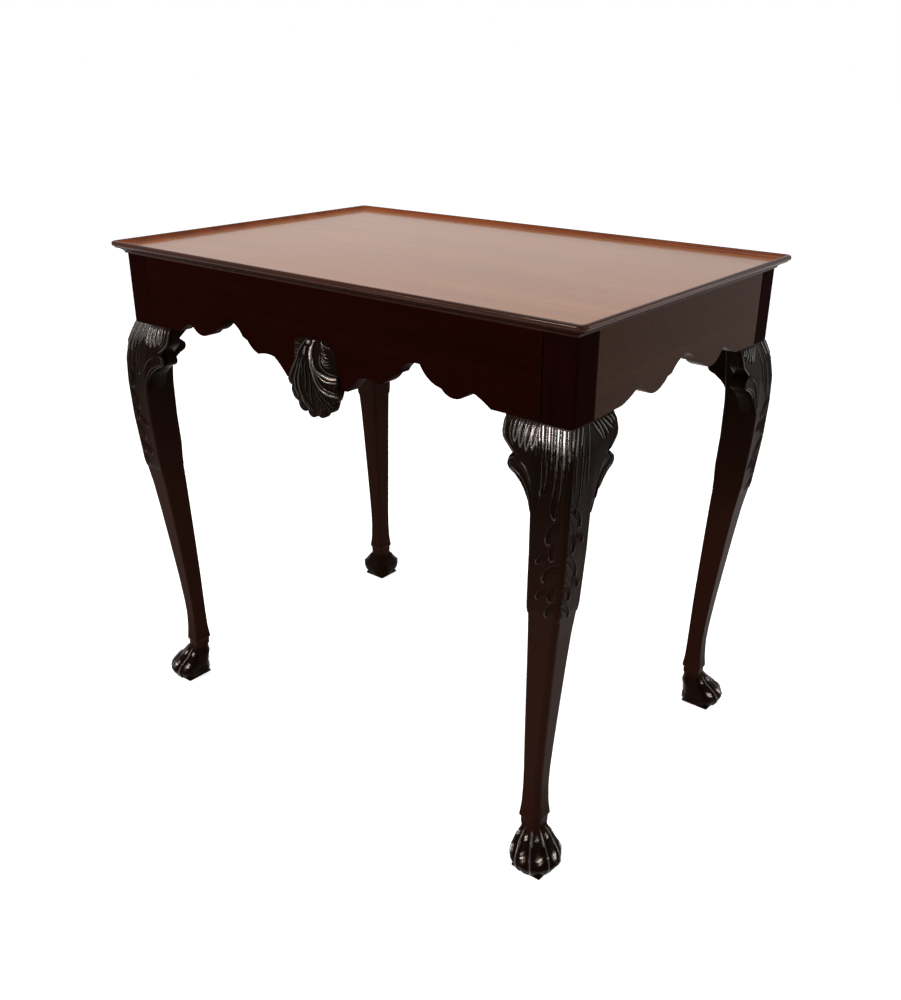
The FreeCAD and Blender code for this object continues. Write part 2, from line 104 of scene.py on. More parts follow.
floor_mesh = bpy.data.meshes.new("floor")
floor_mesh.from_pydata([(-floor_half, -floor_half, 0), (floor_half, -floor_half, 0),
                        (floor_half, floor_half, 0), (-floor_half, floor_half, 0)], [], [(0, 1, 2, 3)])
floor = bpy.data.objects.new("floor", floor_mesh)
bpy.context.scene.collection.objects.link(floor)
floor_paint, tree = empty_material("matt_floor_paint")
matt = node(tree, "ShaderNodeBsdfDiffuse", {"Color": linear(floor_grey)})
lift = node(tree, "ShaderNodeEmission", {"Color": linear(paper_white), "Strength": floor_lift})
lifted = node(tree, "ShaderNodeAddShader", {0: matt.outputs[0], 1: lift.outputs[0]})
pale = node(tree, "ShaderNodeMixShader", {0: seen_straight(tree), 1: matt.outputs[0], 2: lifted.outputs[0]})
node(tree, "ShaderNodeOutputMaterial", {"Surface": pale.outputs[0]})
floor_mesh.materials.append(floor_paint)


def soft_box(name, place, target, width, height, power, colour=paper_white):
    """A soft rectangular lamp that faces a point."""
    data = bpy.data.lights.new(name, "AREA")
    data.shape = "RECTANGLE"
    data.size = width
    data.size_y = height
    data.energy = power
    data.color = linear(colour)[:3]
    made = bpy.data.objects.new(name, data)
    made.location = place
    made.rotation_euler = (Vector(target) - Vector(place)).to_track_quat("-Z", "Y").to_euler()
    bpy.context.scene.collection.objects.link(made)


soft_box("ceiling_box", (-0.2, 0.2, 2.7), (0, 0, 0.6), 1.6, 1.2, 34)
soft_box("front_box", (-0.58, -1.8, 1.5), (0.3, -0.28, 0.55), 0.26, 0.36, 25, warm_white)
soft_box("left_box", (-1.15, -1.82, 1.22), (0.0, -0.27, 0.65), 0.2, 0.24, 6, warm_white)
soft_box("low_fill_box", (0.62, -1.5, 0.8), (0.38, -0.26, 0.2), 0.3, 0.3, 3)
soft_box("right_box", (2.3, -0.5, 1.5), (0, 0, 0.45), 0.6, 0.6, 12)
soft_box("back_right_box", (1.5, 1.5, 0.9), (0.2, 0, 0.5), 0.8, 0.8, 7)

camera_data = bpy.data.cameras.new("view")
camera = bpy.data.objects.new("view", camera_data)
bpy.context.scene.collection.objects.link(camera)
camera_place = (0.93925, -1.138264, 0.993972)
camera_tilt, camera_turn, camera_roll = (math.radians(angle) for angle in (66.434, 38.903, 0.27))
camera.matrix_world = (Matrix.Translation(camera_place) @ Matrix.Rotation(camera_turn, 4, "Z")
                       @ Matrix.Rotation(camera_tilt, 4, "X") @ Matrix.Rotation(camera_roll, 4, "Z"))
camera_data.sensor_fit = "VERTICAL"
camera_data.sensor_height = 36.0
camera_data.lens = 36.01
camera_data.shift_x = -0.0005
camera_data.shift_y = 0.0015
camera_data.clip_start = 0.01
bpy.context.scene.camera = camera
bpy.context.scene.view_settings.view_transform = "Standard"

# The tray board: one wide mahogany board, planed, stained and french polished. The polish is a thin
# clear film, so the top mirrors the pale room at a low angle and is red-brown from above.
board_ease, flat_normal = 0.25, 0.9


def mahogany(name, dark, light, grain_axis, roughness, specular, coat, film_roughness, carved=False):
    """Mahogany with its grain along one axis: a broad figure, streaks, and pores as short dark dashes.
    Real pores are 0.2 mm wide and are drawn coarser, so that they show. Carved pieces carry the height
    of the carving as "carve": wax is dark in its hollows and rubbed bright on its high places, and the
    highest places are worn through to pale wood, painted as pale as the lamps' glints: a painted highlight."""
    figure_width, streak_width, pore_width, cloud_width = 45.0, 4.2, 1.1, 170.0
    figure_stretch, pore_stretch, pore_depth, pore_bump = 22.0, 8.0, 0.2, 0.12
    figure_share, streak_share, cloud_share, pore_share = 0.55, 0.28, 0.25, 0.35
    smoother, rougher = 0.05, 0.07
    polish_tint = "#e0b49c"
    paint, tree = empty_material(name)
    place = node(tree, "ShaderNodeTexCoord").outputs["Object"]
    along, pore_place = (
        node(tree, "ShaderNodeMapping", {"Vector": place, "Scale": [
            1 / stretch if axis == grain_axis else 1.0 for axis in range(3)]}).outputs[0]
        for stretch in (figure_stretch, pore_stretch))
    figure = node(tree, "ShaderNodeTexNoise", {
        "Vector": along, "Scale": 1 / (figure_width * MM), "Detail": 5.0, "Roughness": 0.55,
        "Distortion": 0.6}).outputs["Fac"]
    streaks = node(tree, "ShaderNodeTexNoise", {
        "Vector": along, "Scale": 1 / (streak_width * MM), "Detail": 3.0, "Roughness": 0.6}).outputs["Fac"]
    pores = node(tree, "ShaderNodeTexNoise", {
        "Vector": pore_place, "Scale": 1 / (pore_width * MM), "Detail": 1.0}).outputs["Fac"]
    pore_ramp = node(tree, "ShaderNodeValToRGB", {"Fac": pores})
    pore_ramp.color_ramp.elements[0].position = 0.30
    pore_ramp.color_ramp.elements[1].position = 0.42
    clouds = node(tree, "ShaderNodeTexNoise", {
        "Vector": place, "Scale": 1 / (cloud_width * MM), "Detail": 2.0}).outputs["Fac"]
    blend = 0.0
    for pattern, share in ((figure, figure_share), (streaks, streak_share), (clouds, cloud_share)):
        blend = node(tree, "ShaderNodeMath", {0: pattern, 1: share, 2: blend},
                     operation="MULTIPLY_ADD").outputs[0]
    ramp = node(tree, "ShaderNodeValToRGB", {"Fac": blend})
    for stop, position, colour in ((0, 0.36, dark), (1, 0.72, light)):
        ramp.color_ramp.elements[stop].position = position
        ramp.color_ramp.elements[stop].color = linear(colour)
    colour = node(tree, "ShaderNodeMix", {
        "Factor": pore_share, "A": ramp.outputs["Color"], "B": pore_ramp.outputs["Color"]},
        data_type="RGBA", blend_type="MULTIPLY").outputs[2]
    rough = node(tree, "ShaderNodeMapRange", {
        "Value": streaks, "To Min": roughness - smoother, "To Max": roughness + rougher}).outputs[0]
    film = coat
    if carved:
        # Painted highlight: the carving's highest places, worn through, are painted a pale wood as bright as
        # the lamps' glints
        lower_shank_brown, rubbed_brown, painted_highlight_wood = "#210f0a", "#2a1b15", "#c0aca0"
        highlight_patch_width, highlight_patch_depth, rubbed_share = 1.4, 1.6, 0.4
        height = node(tree, "ShaderNodeAttribute", attribute_name="carve").outputs["Fac"]
        up = node(tree, "ShaderNodeSeparateXYZ", {0: place}).outputs["Z"]
        patches = node(tree, "ShaderNodeTexNoise", {
            "Vector": place, "Scale": 1 / (highlight_patch_width * MM), "Detail": 2.0}).outputs["Fac"]
        highlight_spread = node(tree, "ShaderNodeMath", {0: patches, 1: highlight_patch_depth, 2: height},
                    operation="MULTIPLY_ADD").outputs[0]
        # Where each begins and ends, and its least and greatest share: wax left in the hollows, wax
        # rubbed off the high places, the paler lower shank, the paw below it, and the painted highlight
        # of pale worn wood on the highest places
        wax, rubbed, down_shank, above_paw, painted_highlight = (
            node(tree, "ShaderNodeMapRange", {"Value": value, "From Min": begins, "From Max": ends,
                                              "To Min": least, "To Max": greatest}).outputs[0]
            for value, begins, ends, least, greatest in (
                (height, -2.4, 0.0, 0.25, 1.0), (height, 0.1, 1.4, 0.0, 1.0),
                (up, 560 * MM, 330 * MM, 0.0, 1.0), (up, 50 * MM, 62 * MM, 0.15, 1.0),
                (highlight_spread, 2.85, 3.25, 0.0, 0.9)))
        paler_shank, worn, film = (
            node(tree, "ShaderNodeMath", {0: first, 1: second}, operation="MULTIPLY").outputs[0]
            for first, second in ((down_shank, above_paw), (rubbed, rubbed_share), (rubbed, coat)))
        for share, tone, blend_type in (
                (paler_shank, linear(lower_shank_brown), "MIX"), (1.0, wax, "MULTIPLY"),
                (worn, linear(rubbed_brown), "MIX"), (painted_highlight, linear(painted_highlight_wood), "MIX")):
            colour = node(tree, "ShaderNodeMix", {"Factor": share, "A": colour, "B": tone},
                          data_type="RGBA", blend_type=blend_type).outputs[2]
    relief = node(tree, "ShaderNodeBump", {
        "Height": pore_ramp.outputs["Color"], "Strength": pore_bump, "Distance": pore_depth * MM})
    shader = node(tree, "ShaderNodeBsdfPrincipled", {
        "Base Color": colour, "Roughness": rough, "Normal": relief.outputs[0], "Specular IOR Level": specular,
        "Specular Tint": linear(polish_tint), "Coat Weight": film, "Coat Roughness": film_roughness})
    node(tree, "ShaderNodeOutputMaterial", {"Surface": shader.outputs[0]})
    return paint


def put_in_place(name, mesh, node_name):
    """An object for a finished mesh, carried by the table in place of its CAD node."""
    made = bpy.data.objects.new(name, mesh)
    bpy.context.scene.collection.objects.link(made)
    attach(made, "root")
    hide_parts(node_name)
    return made


def plain_piece(name, node_name, paint, ease):
    """A sawn or planed piece: its CAD form with the arrises eased, flat on its broad faces."""
    flat_share, weld, straight_angle, arris_angle, smooth_angle = 0.08, 0.01, 0.5, 32, 28
    shape = bmesh.new()
    shape.from_mesh(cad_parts[node_name].data)
    bmesh.ops.remove_doubles(shape, verts=shape.verts, dist=weld * MM)
    bmesh.ops.dissolve_limit(shape, angle_limit=math.radians(straight_angle), verts=shape.verts,
                             edges=shape.edges)
    hard = [e for e in shape.edges if e.is_manifold and e.calc_face_angle(0) > math.radians(arris_angle)]
    bmesh.ops.bevel(shape, geom=hard, offset=ease * MM, segments=2, profile=0.6, affect="EDGES",
                    clamp_overlap=True)
    areas = [face.calc_area() for face in shape.faces]
    mesh = bpy.data.meshes.new(name)
    shape.to_mesh(mesh)
    shape.free()
    if "custom_normal" in mesh.attributes:
        mesh.attributes.remove(mesh.attributes["custom_normal"])
    mesh.set_sharp_from_angle(angle=math.radians(smooth_angle))
    mesh.polygons.foreach_set("use_smooth", [area < flat_share * max(areas) for area in areas])
    mesh.materials.clear()
    mesh.materials.append(paint)
    return put_in_place(name, mesh, node_name)


def repaint(piece, paint, chosen):
    """Gives the faces of a piece that a test chooses a second material."""
    piece.data.materials.append(paint)
    piece.data.polygons.foreach_set("material_index", [int(chosen(face)) for face in piece.data.polygons])


tray_wood = mahogany("french_polished_mahogany", "#704321", "#84522b", 0, 0.22, 0.05, 0.24, 0.07)
# Painted shade: the board's edge under the lip takes a darker, duller copy of its mahogany, waxed like the
# frieze, so that it shows as a dark moulding where the lip shades it
board_edge_painted_shade_wood = mahogany("board_edge_mahogany_painted_shade", "#180805", "#2c120a", 0, 0.3, 0.03, 0.05, 0.15)
board = plain_piece("tray_board", "top_board", tray_wood, board_ease)
repaint(board, board_edge_painted_shade_wood, lambda face: face.normal.z < flat_normal)

# The lip: four lengths of moulding, mitred at the corners and glued into the board's rebate. Each has a
# bead outside and a hollow down to the tray.
tray_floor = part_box("top_board")[1][2] / MM
lip_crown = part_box("lip_front")[1][2] / MM
rim_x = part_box("lip_right")[1][0] / MM
rim_y = -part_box("lip_front")[0][1] / MM
lip_width, corner_radius, bead_radius, rebate_depth = 15.5, 10.0, 4.0, 1.5
quirk_share, hollow_power, mitre_slide_share = 0.22, 2.2, 0.08
hollow_start_share, hollow_normal = 1.6, 0.15
hollow_shares = (0.0, 0.12, 0.26, 0.42, 0.6, 0.78, 0.93)
bead_foot_shares = ((1.32, 0.04), (1.62, 0.2), (1.9, 0.62))


def lip_section():
    """The section: distances in from the outer edge, and heights, from the underside round the bead."""
    rebate_floor = tray_floor - rebate_depth
    bead = [math.radians(a) for a in range(-68, 91, 12)]
    section = [(lip_width, rebate_floor), (bead_radius, rebate_floor)]
    section += [(bead_radius * (1 - math.cos(t)), lip_crown - bead_radius * (1 - math.sin(t))) for t in bead]
    section += [(bead_radius * inwards, lip_crown - bead_radius * down) for inwards, down in bead_foot_shares]
    bead_foot, foot_height = section[-1]
    quirk = bead_radius * quirk_share
    for share in hollow_shares:
        rise = (foot_height - quirk - tray_floor) * (1 - share) ** hollow_power
        inwards = bead_foot + quirk / 2 + (lip_width - bead_foot - quirk / 2) * share
        section.append((inwards, tray_floor + rise))
    return section + [(lip_width, tray_floor - quirk / 4)]


def lip_rings(half_length, outer):
    """Rings of the section along one side of the top, from mitre to mitre, round each corner."""
    turns = [math.radians(a) for a in (45, 39, 33, 27, 21, 15, 9, 3, 0)]
    centre = half_length - corner_radius

    def corner_ring(side, turn):
        ring = []
        for inwards, z in lip_section():
            r = corner_radius - inwards
            if r > 0:
                along, out = centre + r * math.sin(turn), -outer + corner_radius - r * math.cos(turn)
                ring.append((side * along, out, z))
            else:
                slide = lip_width * mitre_slide_share * (1 - turn / math.radians(45))
                ring.append((side * (half_length - inwards - slide), -outer + inwards, z))
        return ring

    return np.array([corner_ring(-1, turn) for turn in turns]
                    + [corner_ring(1, turn) for turn in reversed(turns)])


def skin(rings, flip=False):
    """Points and faces of a closed skin over rows of rings, with its first and last ring filled."""
    rows, columns = rings.shape[:2]
    r, c = np.meshgrid(np.arange(rows - 1), np.arange(columns), indexing="ij")
    after = (c + 1) % columns
    quads = np.stack([r * columns + c, r * columns + after, (r + 1) * columns + after,
                      (r + 1) * columns + c], -1)
    faces = quads.reshape(-1, 4).tolist()
    points = rings.reshape(-1, 3)
    for row, turned in ((0, True), (rows - 1, False)):
        middle = len(points)
        points = np.vstack([points, rings[row].mean(0)])
        for i in range(columns):
            first, second = row * columns + i, row * columns + (i + 1) % columns
            faces.append([middle, second, first] if turned else [middle, first, second])
    return points, [face[::-1] for face in faces] if flip else faces


def worked_piece(name, points, faces, paint, node_name, carve=None, sharp=60):
    """A moulded or carved piece from points in millimetres, in place of its CAD node."""
    mesh = bpy.data.meshes.new(name)
    mesh.from_pydata((np.asarray(points) * MM).tolist(), [], faces)
    mesh.polygons.foreach_set("use_smooth", [True] * len(mesh.polygons))
    if carve is not None:
        heights = mesh.attributes.new("carve", "FLOAT", "POINT")
        heights.data.foreach_set("value", np.asarray(carve, np.float32))
    mesh.set_sharp_from_angle(angle=math.radians(sharp))
    mesh.materials.append(paint)
    return put_in_place(name, mesh, node_name)


# The polish is thin and dark over the bead. The hollow inside it is painted a warm red-brown where it faces
# up: a painted reflection of the tray floor.
lip_wood, lip_end_wood = (
    mahogany("worn_polished_mahogany_" + way, "#1e0b05", "#3a180b", axis, 0.26, 0.05, 0.10, 0.12)
    for way, axis in (("lengthwise", 0), ("crosswise", 1)))
lip_hollow_painted_reflection_wood = mahogany("lip_hollow_mahogany_painted_reflection", "#4a200e", "#7a3d1c", 0, 0.3, 0.05, 0.06, 0.15)
for side, half_length, outer, degrees, wood in (
        ("front", rim_x, rim_y, 0, lip_wood), ("right", rim_y, rim_x, 90, lip_end_wood),
        ("back", rim_x, rim_y, 180, lip_wood), ("left", rim_y, rim_x, 270, lip_end_wood)):
    points, faces = skin(lip_rings(half_length, outer), flip=True)
    c, s = math.cos(math.radians(degrees)), math.sin(math.radians(degrees))
    points = points @ np.array([[c, s, 0], [-s, c, 0], [0, 0, 1]])
    lip = worked_piece("lip_" + side + "_shown", points, faces, wood, "lip_" + side, sharp=50)
    hollow_line = (outer - bead_radius * hollow_start_share) * MM
    out = Vector((s, -c, 0))
    # Painted reflection: the hollow's faces that look up take the warm red-brown
    repaint(lip, lip_hollow_painted_reflection_wood,
            lambda face: face.normal.z > hollow_normal and face.center.dot(out) < hollow_line)

# The frieze: four mahogany rails, sawn to their scalloped lower edges and tenoned into the legs. They
# are stained nearly black and waxed, so they mirror little. The short rails are one wood with the long
# ones, painted a lighter brown: painted light, for the lamps' light that falls on their side.
rail_ease = 0.8
rail_wood = mahogany("waxed_mahogany_lengthwise", "#0f0301", "#1a0503", 0, 0.34, 0.001, 0.0, 0.2)
side_rail_painted_light_wood = mahogany("waxed_mahogany_crosswise_painted_light", "#26120a", "#362013", 1, 0.34, 0.02, 0.0, 0.2)
for side, wood in (("front", rail_wood), ("right", side_rail_painted_light_wood), ("back", rail_wood),
                   ("left", side_rail_painted_light_wood)):
    plain_piece("rail_" + side + "_shown", "rail_" + side, wood, rail_ease)

# The legs: four carved cabriole legs, each cut from one length of mahogany and nearly square in section.
# Below the frieze hangs a band of flutes; under it a plain stem runs down the arris between pairs of
# curling leaflets, to a short rounded end. A plain shank follows, a collar, and a paw on a square pad.
# A place on a leg is given by its insets, the distances in from the frieze's outer corner along the
# table's length and width.
rail_low, rail_high = (np.array(corner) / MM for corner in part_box("rail_front"))
frieze_y = -rail_low[1]
frieze_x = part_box("rail_right")[1][0] / MM
rail_top = rail_high[2]
apron_depth = 102.6
knee_top = rail_top - apron_depth
leaf_end, ankle, collar, neck = 396.0, 120.0, 72.0, 60.0
post_width, knee_width, ankle_width, collar_width, neck_width = 44.0, 52.0, 25.6, 31.5, 27.0
knee_inset, ankle_inset, foot_inset = (np.array(place) for place in ((14.0, 5.5), (40.5, 22.5), (29.0, 10.5)))
leaf_step, end_length, plain_end_length = 1.7, 17.0, 42.0
arris_share, ankle_arris_share, knee_arris_share, eased_share = 0.16, 0.34, 0.128, 0.08
carved_columns, plain_columns, turn_columns = 70, 7, 5
carved_step, plain_step, paw_step = 0.85, 3.6, 0.8
pad_width, pad_thickness, pad_ease, pad_corner, pad_lap = 46.0, 3.5, 0.8, 1.4, 0.1
collar_ledge, leaf_end_gap, section_eases = 0.8, 0.6, 7
leaflet_reach, leaflet_drop, leaf_overrun, below_leaf = 20.0, 24.0, 3.0, 1.5
# Stations as shares: height, way from the knee's inset to the post's middle or the ankle's inset, width
knee_shares = [(1.0, 1.0, 0.0, 0.824), (0.945, 0.74, 0.0, 0.905), (0.875, 0.44, 0.0, 0.985),
               (0.76, 0.15, 0.0, 1.03), (0.60, 0.02, 0.0, 1.005), (0.36, 0.0, 0.05, 0.975),
               (0.0, 0.0, 0.26, 0.915)]
shank_shares = [(1.0, 0.26, 0.74), (0.88, 0.39, 0.605), (0.70, 0.54, 0.46), (0.48, 0.71, 0.30),
                (0.26, 0.87, 0.14), (0.10, 0.96, 0.03), (0.0, 1.0, 0.0)]


def leg_stations():
    """Height, insets of the middle and width, from the foot's neck up to the post."""
    stations = []
    for height, to_post, to_ankle, width in knee_shares:
        inset = knee_inset + (post_width / 2 - knee_inset) * to_post + (ankle_inset - knee_inset) * to_ankle
        stations.append((leaf_end + (knee_top - leaf_end) * height, *inset, knee_width * width))
    for height, to_ankle, width in shank_shares:
        inset = knee_inset + (ankle_inset - knee_inset) * to_ankle
        below = leaf_end_gap if height == 1.0 else 0
        stations.append((ankle + (leaf_end - ankle) * height - below, *inset,
                         ankle_width + (knee_width - ankle_width) * width - leaf_step * height))
    for z, width in (((ankle * 0.4 + collar * 0.6), ankle_width + (collar_width - ankle_width) * 0.3),
                     (collar + collar_ledge, collar_width), (collar - collar_ledge, collar_width * 0.965),
                     (collar - 2 * collar_ledge, neck_width * 1.02), (neck, neck_width)):
        stations.append((z, *ankle_inset, width))
    return np.array(sorted(stations))


stations = leg_stations()


def leg_at(z):
    """Insets of the leg's middle and its width at a height, with the stations' kinks smoothed out."""
    soften = min(5.0, abs(z - leaf_end) * 0.5, abs(z - knee_top) * 0.6, abs(z - collar) * 0.25 + 0.9)
    total = 0
    for offset in np.linspace(-soften, soften, section_eases):
        total = total + np.array([np.interp(z + offset, stations[:, 0], stations[:, k]) for k in (1, 2, 3)])
    middle = total / section_eases
    return middle[:2], middle[2]


def through(stops, count):
    """Points along a smooth line through a few stops, each a place and a half width."""
    stops = np.array(stops, float)
    padded = np.vstack([2 * stops[0] - stops[1], stops, 2 * stops[-1] - stops[-2]])
    out = []
    for place in np.linspace(0, len(stops) - 1 - 1e-6, count):
        i = int(place)
        t = place - i
        a, b, c, d = padded[i:i + 4]
        bend, twist = 2 * a - 5 * b + 4 * c - d, 3 * b - a - 3 * c + d
        out.append(0.5 * (2 * b + (c - a) * t + bend * t ** 2 + twist * t ** 3))
    return np.array(out)


def stroke(u, v, stops):
    """For each place on a face: how far across a tool's stroke it lies, and how far along, as shares."""
    points_per_stop, out_of_reach, finest = 9, 9.0, 0.05
    path = through(stops, points_per_stop * len(stops))
    across = np.full(u.shape, out_of_reach)
    along = np.zeros(u.shape)
    reach = path[:, 2].max() * 1.05
    near = ((u > path[:, 0].min() - reach) & (u < path[:, 0].max() + reach)
            & (v > path[:, 1].min() - reach) & (v < path[:, 1].max() + reach))
    if not near.any():
        return across, along
    p, q = u[near], v[near]
    best = np.full(p.shape, out_of_reach)
    best_along = np.zeros(p.shape)
    for i in range(len(path) - 1):
        du, dv = path[i + 1, 0] - path[i, 0], path[i + 1, 1] - path[i, 1]
        length = du * du + dv * dv + 1e-9
        t = np.clip(((p - path[i, 0]) * du + (q - path[i, 1]) * dv) / length, 0, 1)
        away_u, away_v = p - path[i, 0] - t * du, q - path[i, 1] - t * dv
        width = path[i, 2] + t * (path[i + 1, 2] - path[i, 2])
        share = np.hypot(away_u, away_v) / np.maximum(width, finest)
        sign = np.where(du * away_v - dv * away_u < 0, -1.0, 1.0)
        better = share < np.abs(best)
        best = np.where(better, share * sign, best)
        best_along = np.where(better, (i + t) / (len(path) - 1), best_along)
    across[near] = best
    along[near] = best_along
    return across, along


def rib(height, u, v, stops, rise, base=0.0, crown=2, tilt=0.0):
    """A rib or thin vein that stands on the carving, fading out at its ends. A crown of 2 is half round,
    and a higher one is flatter, and may be tilted to one side."""
    end_height, end_rise = 0.3, 9
    across, along = stroke(u, v, stops)
    ends = np.clip(np.minimum(along, 1 - along) * end_rise + end_height, 0, 1)
    made = base + ends * (rise * np.sqrt(np.clip(1 - np.abs(across) ** crown, 0, 1)) + tilt * across)
    return np.where(np.abs(across) < 1, np.maximum(height, made), height)


def scoop(height, u, v, stops, depth):
    """A shallow hollow made with a gouge."""
    across, along = stroke(u, v, stops)
    inside = np.abs(across) < 1
    return height - depth * np.where(inside, np.cos(np.clip(across, -1, 1) * math.pi / 2), 0)


def leaflet(h, s, z, stem, root, size, swing, curl):
    """One curling leaflet, hung from its root beside the stem: a scooped blade between low rims, with veins
    and a rolled tip. Swing turns it outwards, and curl rolls its tip in."""
    reach, drop = leaflet_reach * size, leaflet_drop * size
    c, n = math.cos(swing), math.sin(swing)

    def at(out, down, width):
        u, v = reach * out, -drop * down
        return (stem + u * c - v * n, root + u * n + v * c, width)

    blade = ((0.0, -0.35, 1.2), (0.42, -0.02, 5.0), (0.76, 0.42, 5.2), (0.82, 0.86, 2.2))
    outer_rim = ((0.02, -0.70, 0.5), (0.34, -0.44, 0.8), (0.72, -0.10, 0.9), (0.98, 0.34, 1.0),
                 (1.02, 0.74, 1.0))
    rolled_tip = ((1.04, 0.62, 0.9), (1.0, 0.94, 1.1), (0.84, 1.08, 1.0), (0.84 - curl, 0.9, 0.7))
    inner_rim = ((0.0, 0.16, 0.6), (0.16, 0.50, 0.8), (0.34, 0.84, 0.9), (0.62, 1.14, 0.8))
    vein = ((0.02, -0.30, 0.5), (0.38, 0.0, 0.8), (0.68, 0.46, 0.7))
    short_vein = ((0.12, 0.02, 0.5), (0.34, 0.34, 0.7), (0.50, 0.74, 0.6))
    h = scoop(h, s, z, [at(*stop) for stop in blade], 0.9)
    for stops, rise, base in ((outer_rim, 0.7, -0.5), (rolled_tip, 1.2, -0.5), (inner_rim, 0.8, -0.6),
                              (vein, 0.6, -0.8), (short_vein, 0.5, -0.8)):
        h = rib(h, s, z, [at(*stop) for stop in stops], rise, base=base)
    return h


# Down the knee's two faces. Leaflets: way out from the stem, height of the root, size, swing and curl.
# Veins: distances in from the arris, heights and half widths. Flutes of the band: distance in, height of
# the lower end, lean, half width and tilt.
long_face_leaflets = [
    (0.5, 417.0, 0.70, 0.10, 0.10), (3.5, 440.0, 0.62, -0.20, 0.30), (1.0, 466.0, 0.92, 0.22, 0.05),
    (6.0, 497.0, 0.66, -0.30, 0.34), (0.5, 521.0, 0.98, 0.05, 0.18), (7.0, 552.0, 0.70, -0.42, 0.26),
    (18.0, 566.0, 0.56, 0.30, 0.10), (20.0, 478.0, 0.50, 0.35, 0.2), (17.0, 432.0, 0.52, 0.25, 0.1)]
long_face_veins = [
    ((12, 600, 0.9), (11, 574, 0.9), (13, 552, 0.6)), ((20, 596, 0.9), (19.5, 574, 0.9), (22, 556, 0.6)),
    ((31, 598, 0.8), (31, 576, 0.9), (33.5, 560, 0.6)), ((38, 598, 0.7), (37, 570, 0.9), (38, 548, 0.6))]
long_face_flutes = [
    (2.6, 599, 0.03, 3.0, -0.05), (8.7, 590, 0.02, 2.7, 0.1), (13.2, 601, 0.0, 1.3, 0.2),
    (17.2, 588, 0.0, 2.4, -0.05), (21.3, 604, 0.0, 1.4, -0.2), (24.6, 594, 0.0, 1.5, 0.15),
    (28.6, 606, 0.02, 2.2, 0.0), (32.6, 598, 0.0, 1.5, -0.2), (36.6, 605, 0.03, 2.2, 0.1),
    (41.0, 610, 0.04, 1.8, 0.2), (45.6, 606, 0.06, 2.3, -0.1)]
short_face_leaflets = [
    (0.5, 412.0, 0.80, 0.25, 0.12), (4.0, 440.0, 0.66, -0.12, 0.30), (0.5, 474.0, 1.04, 0.12, 0.20),
    (5.0, 508.0, 0.70, -0.34, 0.12), (1.0, 537.0, 0.94, 0.20, 0.24), (19.0, 505.0, 0.5, 0.3, 0.1),
    (18.0, 446.0, 0.56, 0.30, 0.16)]
short_face_veins = [
    ((13, 626, 1.0), (11.5, 590, 1.0), (12.5, 562, 0.6)),
    ((24.5, 628, 1.0), (24, 590, 1.1), (22.5, 556, 0.9), (16, 536, 0.6)),
    ((31, 634, 1.2), (35, 622, 1.4), (36.5, 600, 1.4), (37, 566, 0.9)),
    ((30, 600, 0.7), (29, 580, 0.9), (27, 556, 0.6))]
short_face_flutes = [(3.2, 610, 0.0, 1.2, 0.0), (8.0, 604, 0.1, 1.4, 0.1), (17.5, 610, 0.1, 1.1, -0.1)]
ground_depth, stem_slope, band_foot, band_fade, inner_edge, inner_fade = 0.4, 2.5, 618.0, 14.0, 50.0, 4.0
leaf_height, highest_leaf, flute_top, flute_bend, flute_rise, flute_crown = 0.9, 575, 640, 616, 1.5, 5


def knee_carving(s, z, on_end):
    """Height of the carving at a distance s in from the arris. The faces on the two sides differ a little."""
    leaflets, veins, flutes = ((short_face_leaflets, short_face_veins, short_face_flutes) if on_end
                               else (long_face_leaflets, long_face_veins, long_face_flutes))
    h = np.zeros(s.shape)
    stem = np.interp(z, [leaf_end, 460, 560, 600], [3.0, 4.4, 6.2, 7.2])
    on_leaf = np.clip((z - leaf_end) / 2.0, 0, 1) * np.clip((band_foot - z) / band_fade, 0, 1)
    beside_stem = np.clip((s - stem) / stem_slope, 0, 1)
    h = h - ground_depth * beside_stem * np.clip((knee_width - s) / band_fade, 0, 1) * on_leaf
    for out, root, size, swing, curl in leaflets:
        own_stem = float(np.interp(root, [leaf_end, 560], [3.4, 6.4])) + out
        h = leaflet(h, s, z, own_stem, root, size, swing, curl)
        h = rib(h, s, z, [(own_stem - 1, root + 6, 0.5), (own_stem - 0.4, root - 10 * size, 0.7),
                          (own_stem + 3.0 * size, root - leaflet_drop * size, 0.5)], 0.6, base=-0.5)
    for vein in veins:
        h = rib(h, s, z, vein, 0.9, base=-0.3)
    for s0, low, lean, wide, tilt in flutes:
        h = rib(h, s, z, [(s0 + lean * 22, flute_top, wide), (s0 + lean * 10, flute_bend, wide * 0.96),
                          (s0 + lean * 2, (flute_bend + low) / 2 + 3, wide * 0.8), (s0, low, wide * 0.35)],
                flute_rise, base=0.1, crown=flute_crown, tilt=tilt)
        h = rib(h, s, z, [(s0 + 0.9, low - 1, 0.8), (s0 + 0.4, low - 9, 0.6)], 0.8, base=-0.3)
    inner = np.clip((inner_edge - s) / inner_fade, 0, 1)
    h = np.where(z < highest_leaf, np.minimum(h, leaf_height), h)
    return h * np.clip((z - leaf_end + 0.5) / 1.5, 0, 1) * np.clip((knee_top - z) / 1.2, 0, 1) * inner


# The section's four sides in turn: the carved faces to the table's long side and short side, then the
# two plain faces inside
side_along = np.array([(-1, 0), (0, 1), (1, 0), (0, -1)], float)
side_out = np.array([(0, -1), (-1, 0), (0, 1), (1, 0)], float)


def section_columns():
    """For each column of points its side, and a share along it or a turn round its corner."""
    columns = []
    for side in range(4):
        count = carved_columns if side in (0, 1) else plain_columns
        columns += [(side, "first", math.radians(45) * (1 - k / turn_columns)) for k in range(turn_columns)]
        columns += [(side, "straight", k / (count - 1)) for k in range(count)]
        columns += [(side, "last", math.radians(45) * k / turn_columns) for k in range(1, turn_columns)]
    return columns


leg_columns = section_columns()
column_side = np.array([side for side, kind, value in leg_columns])


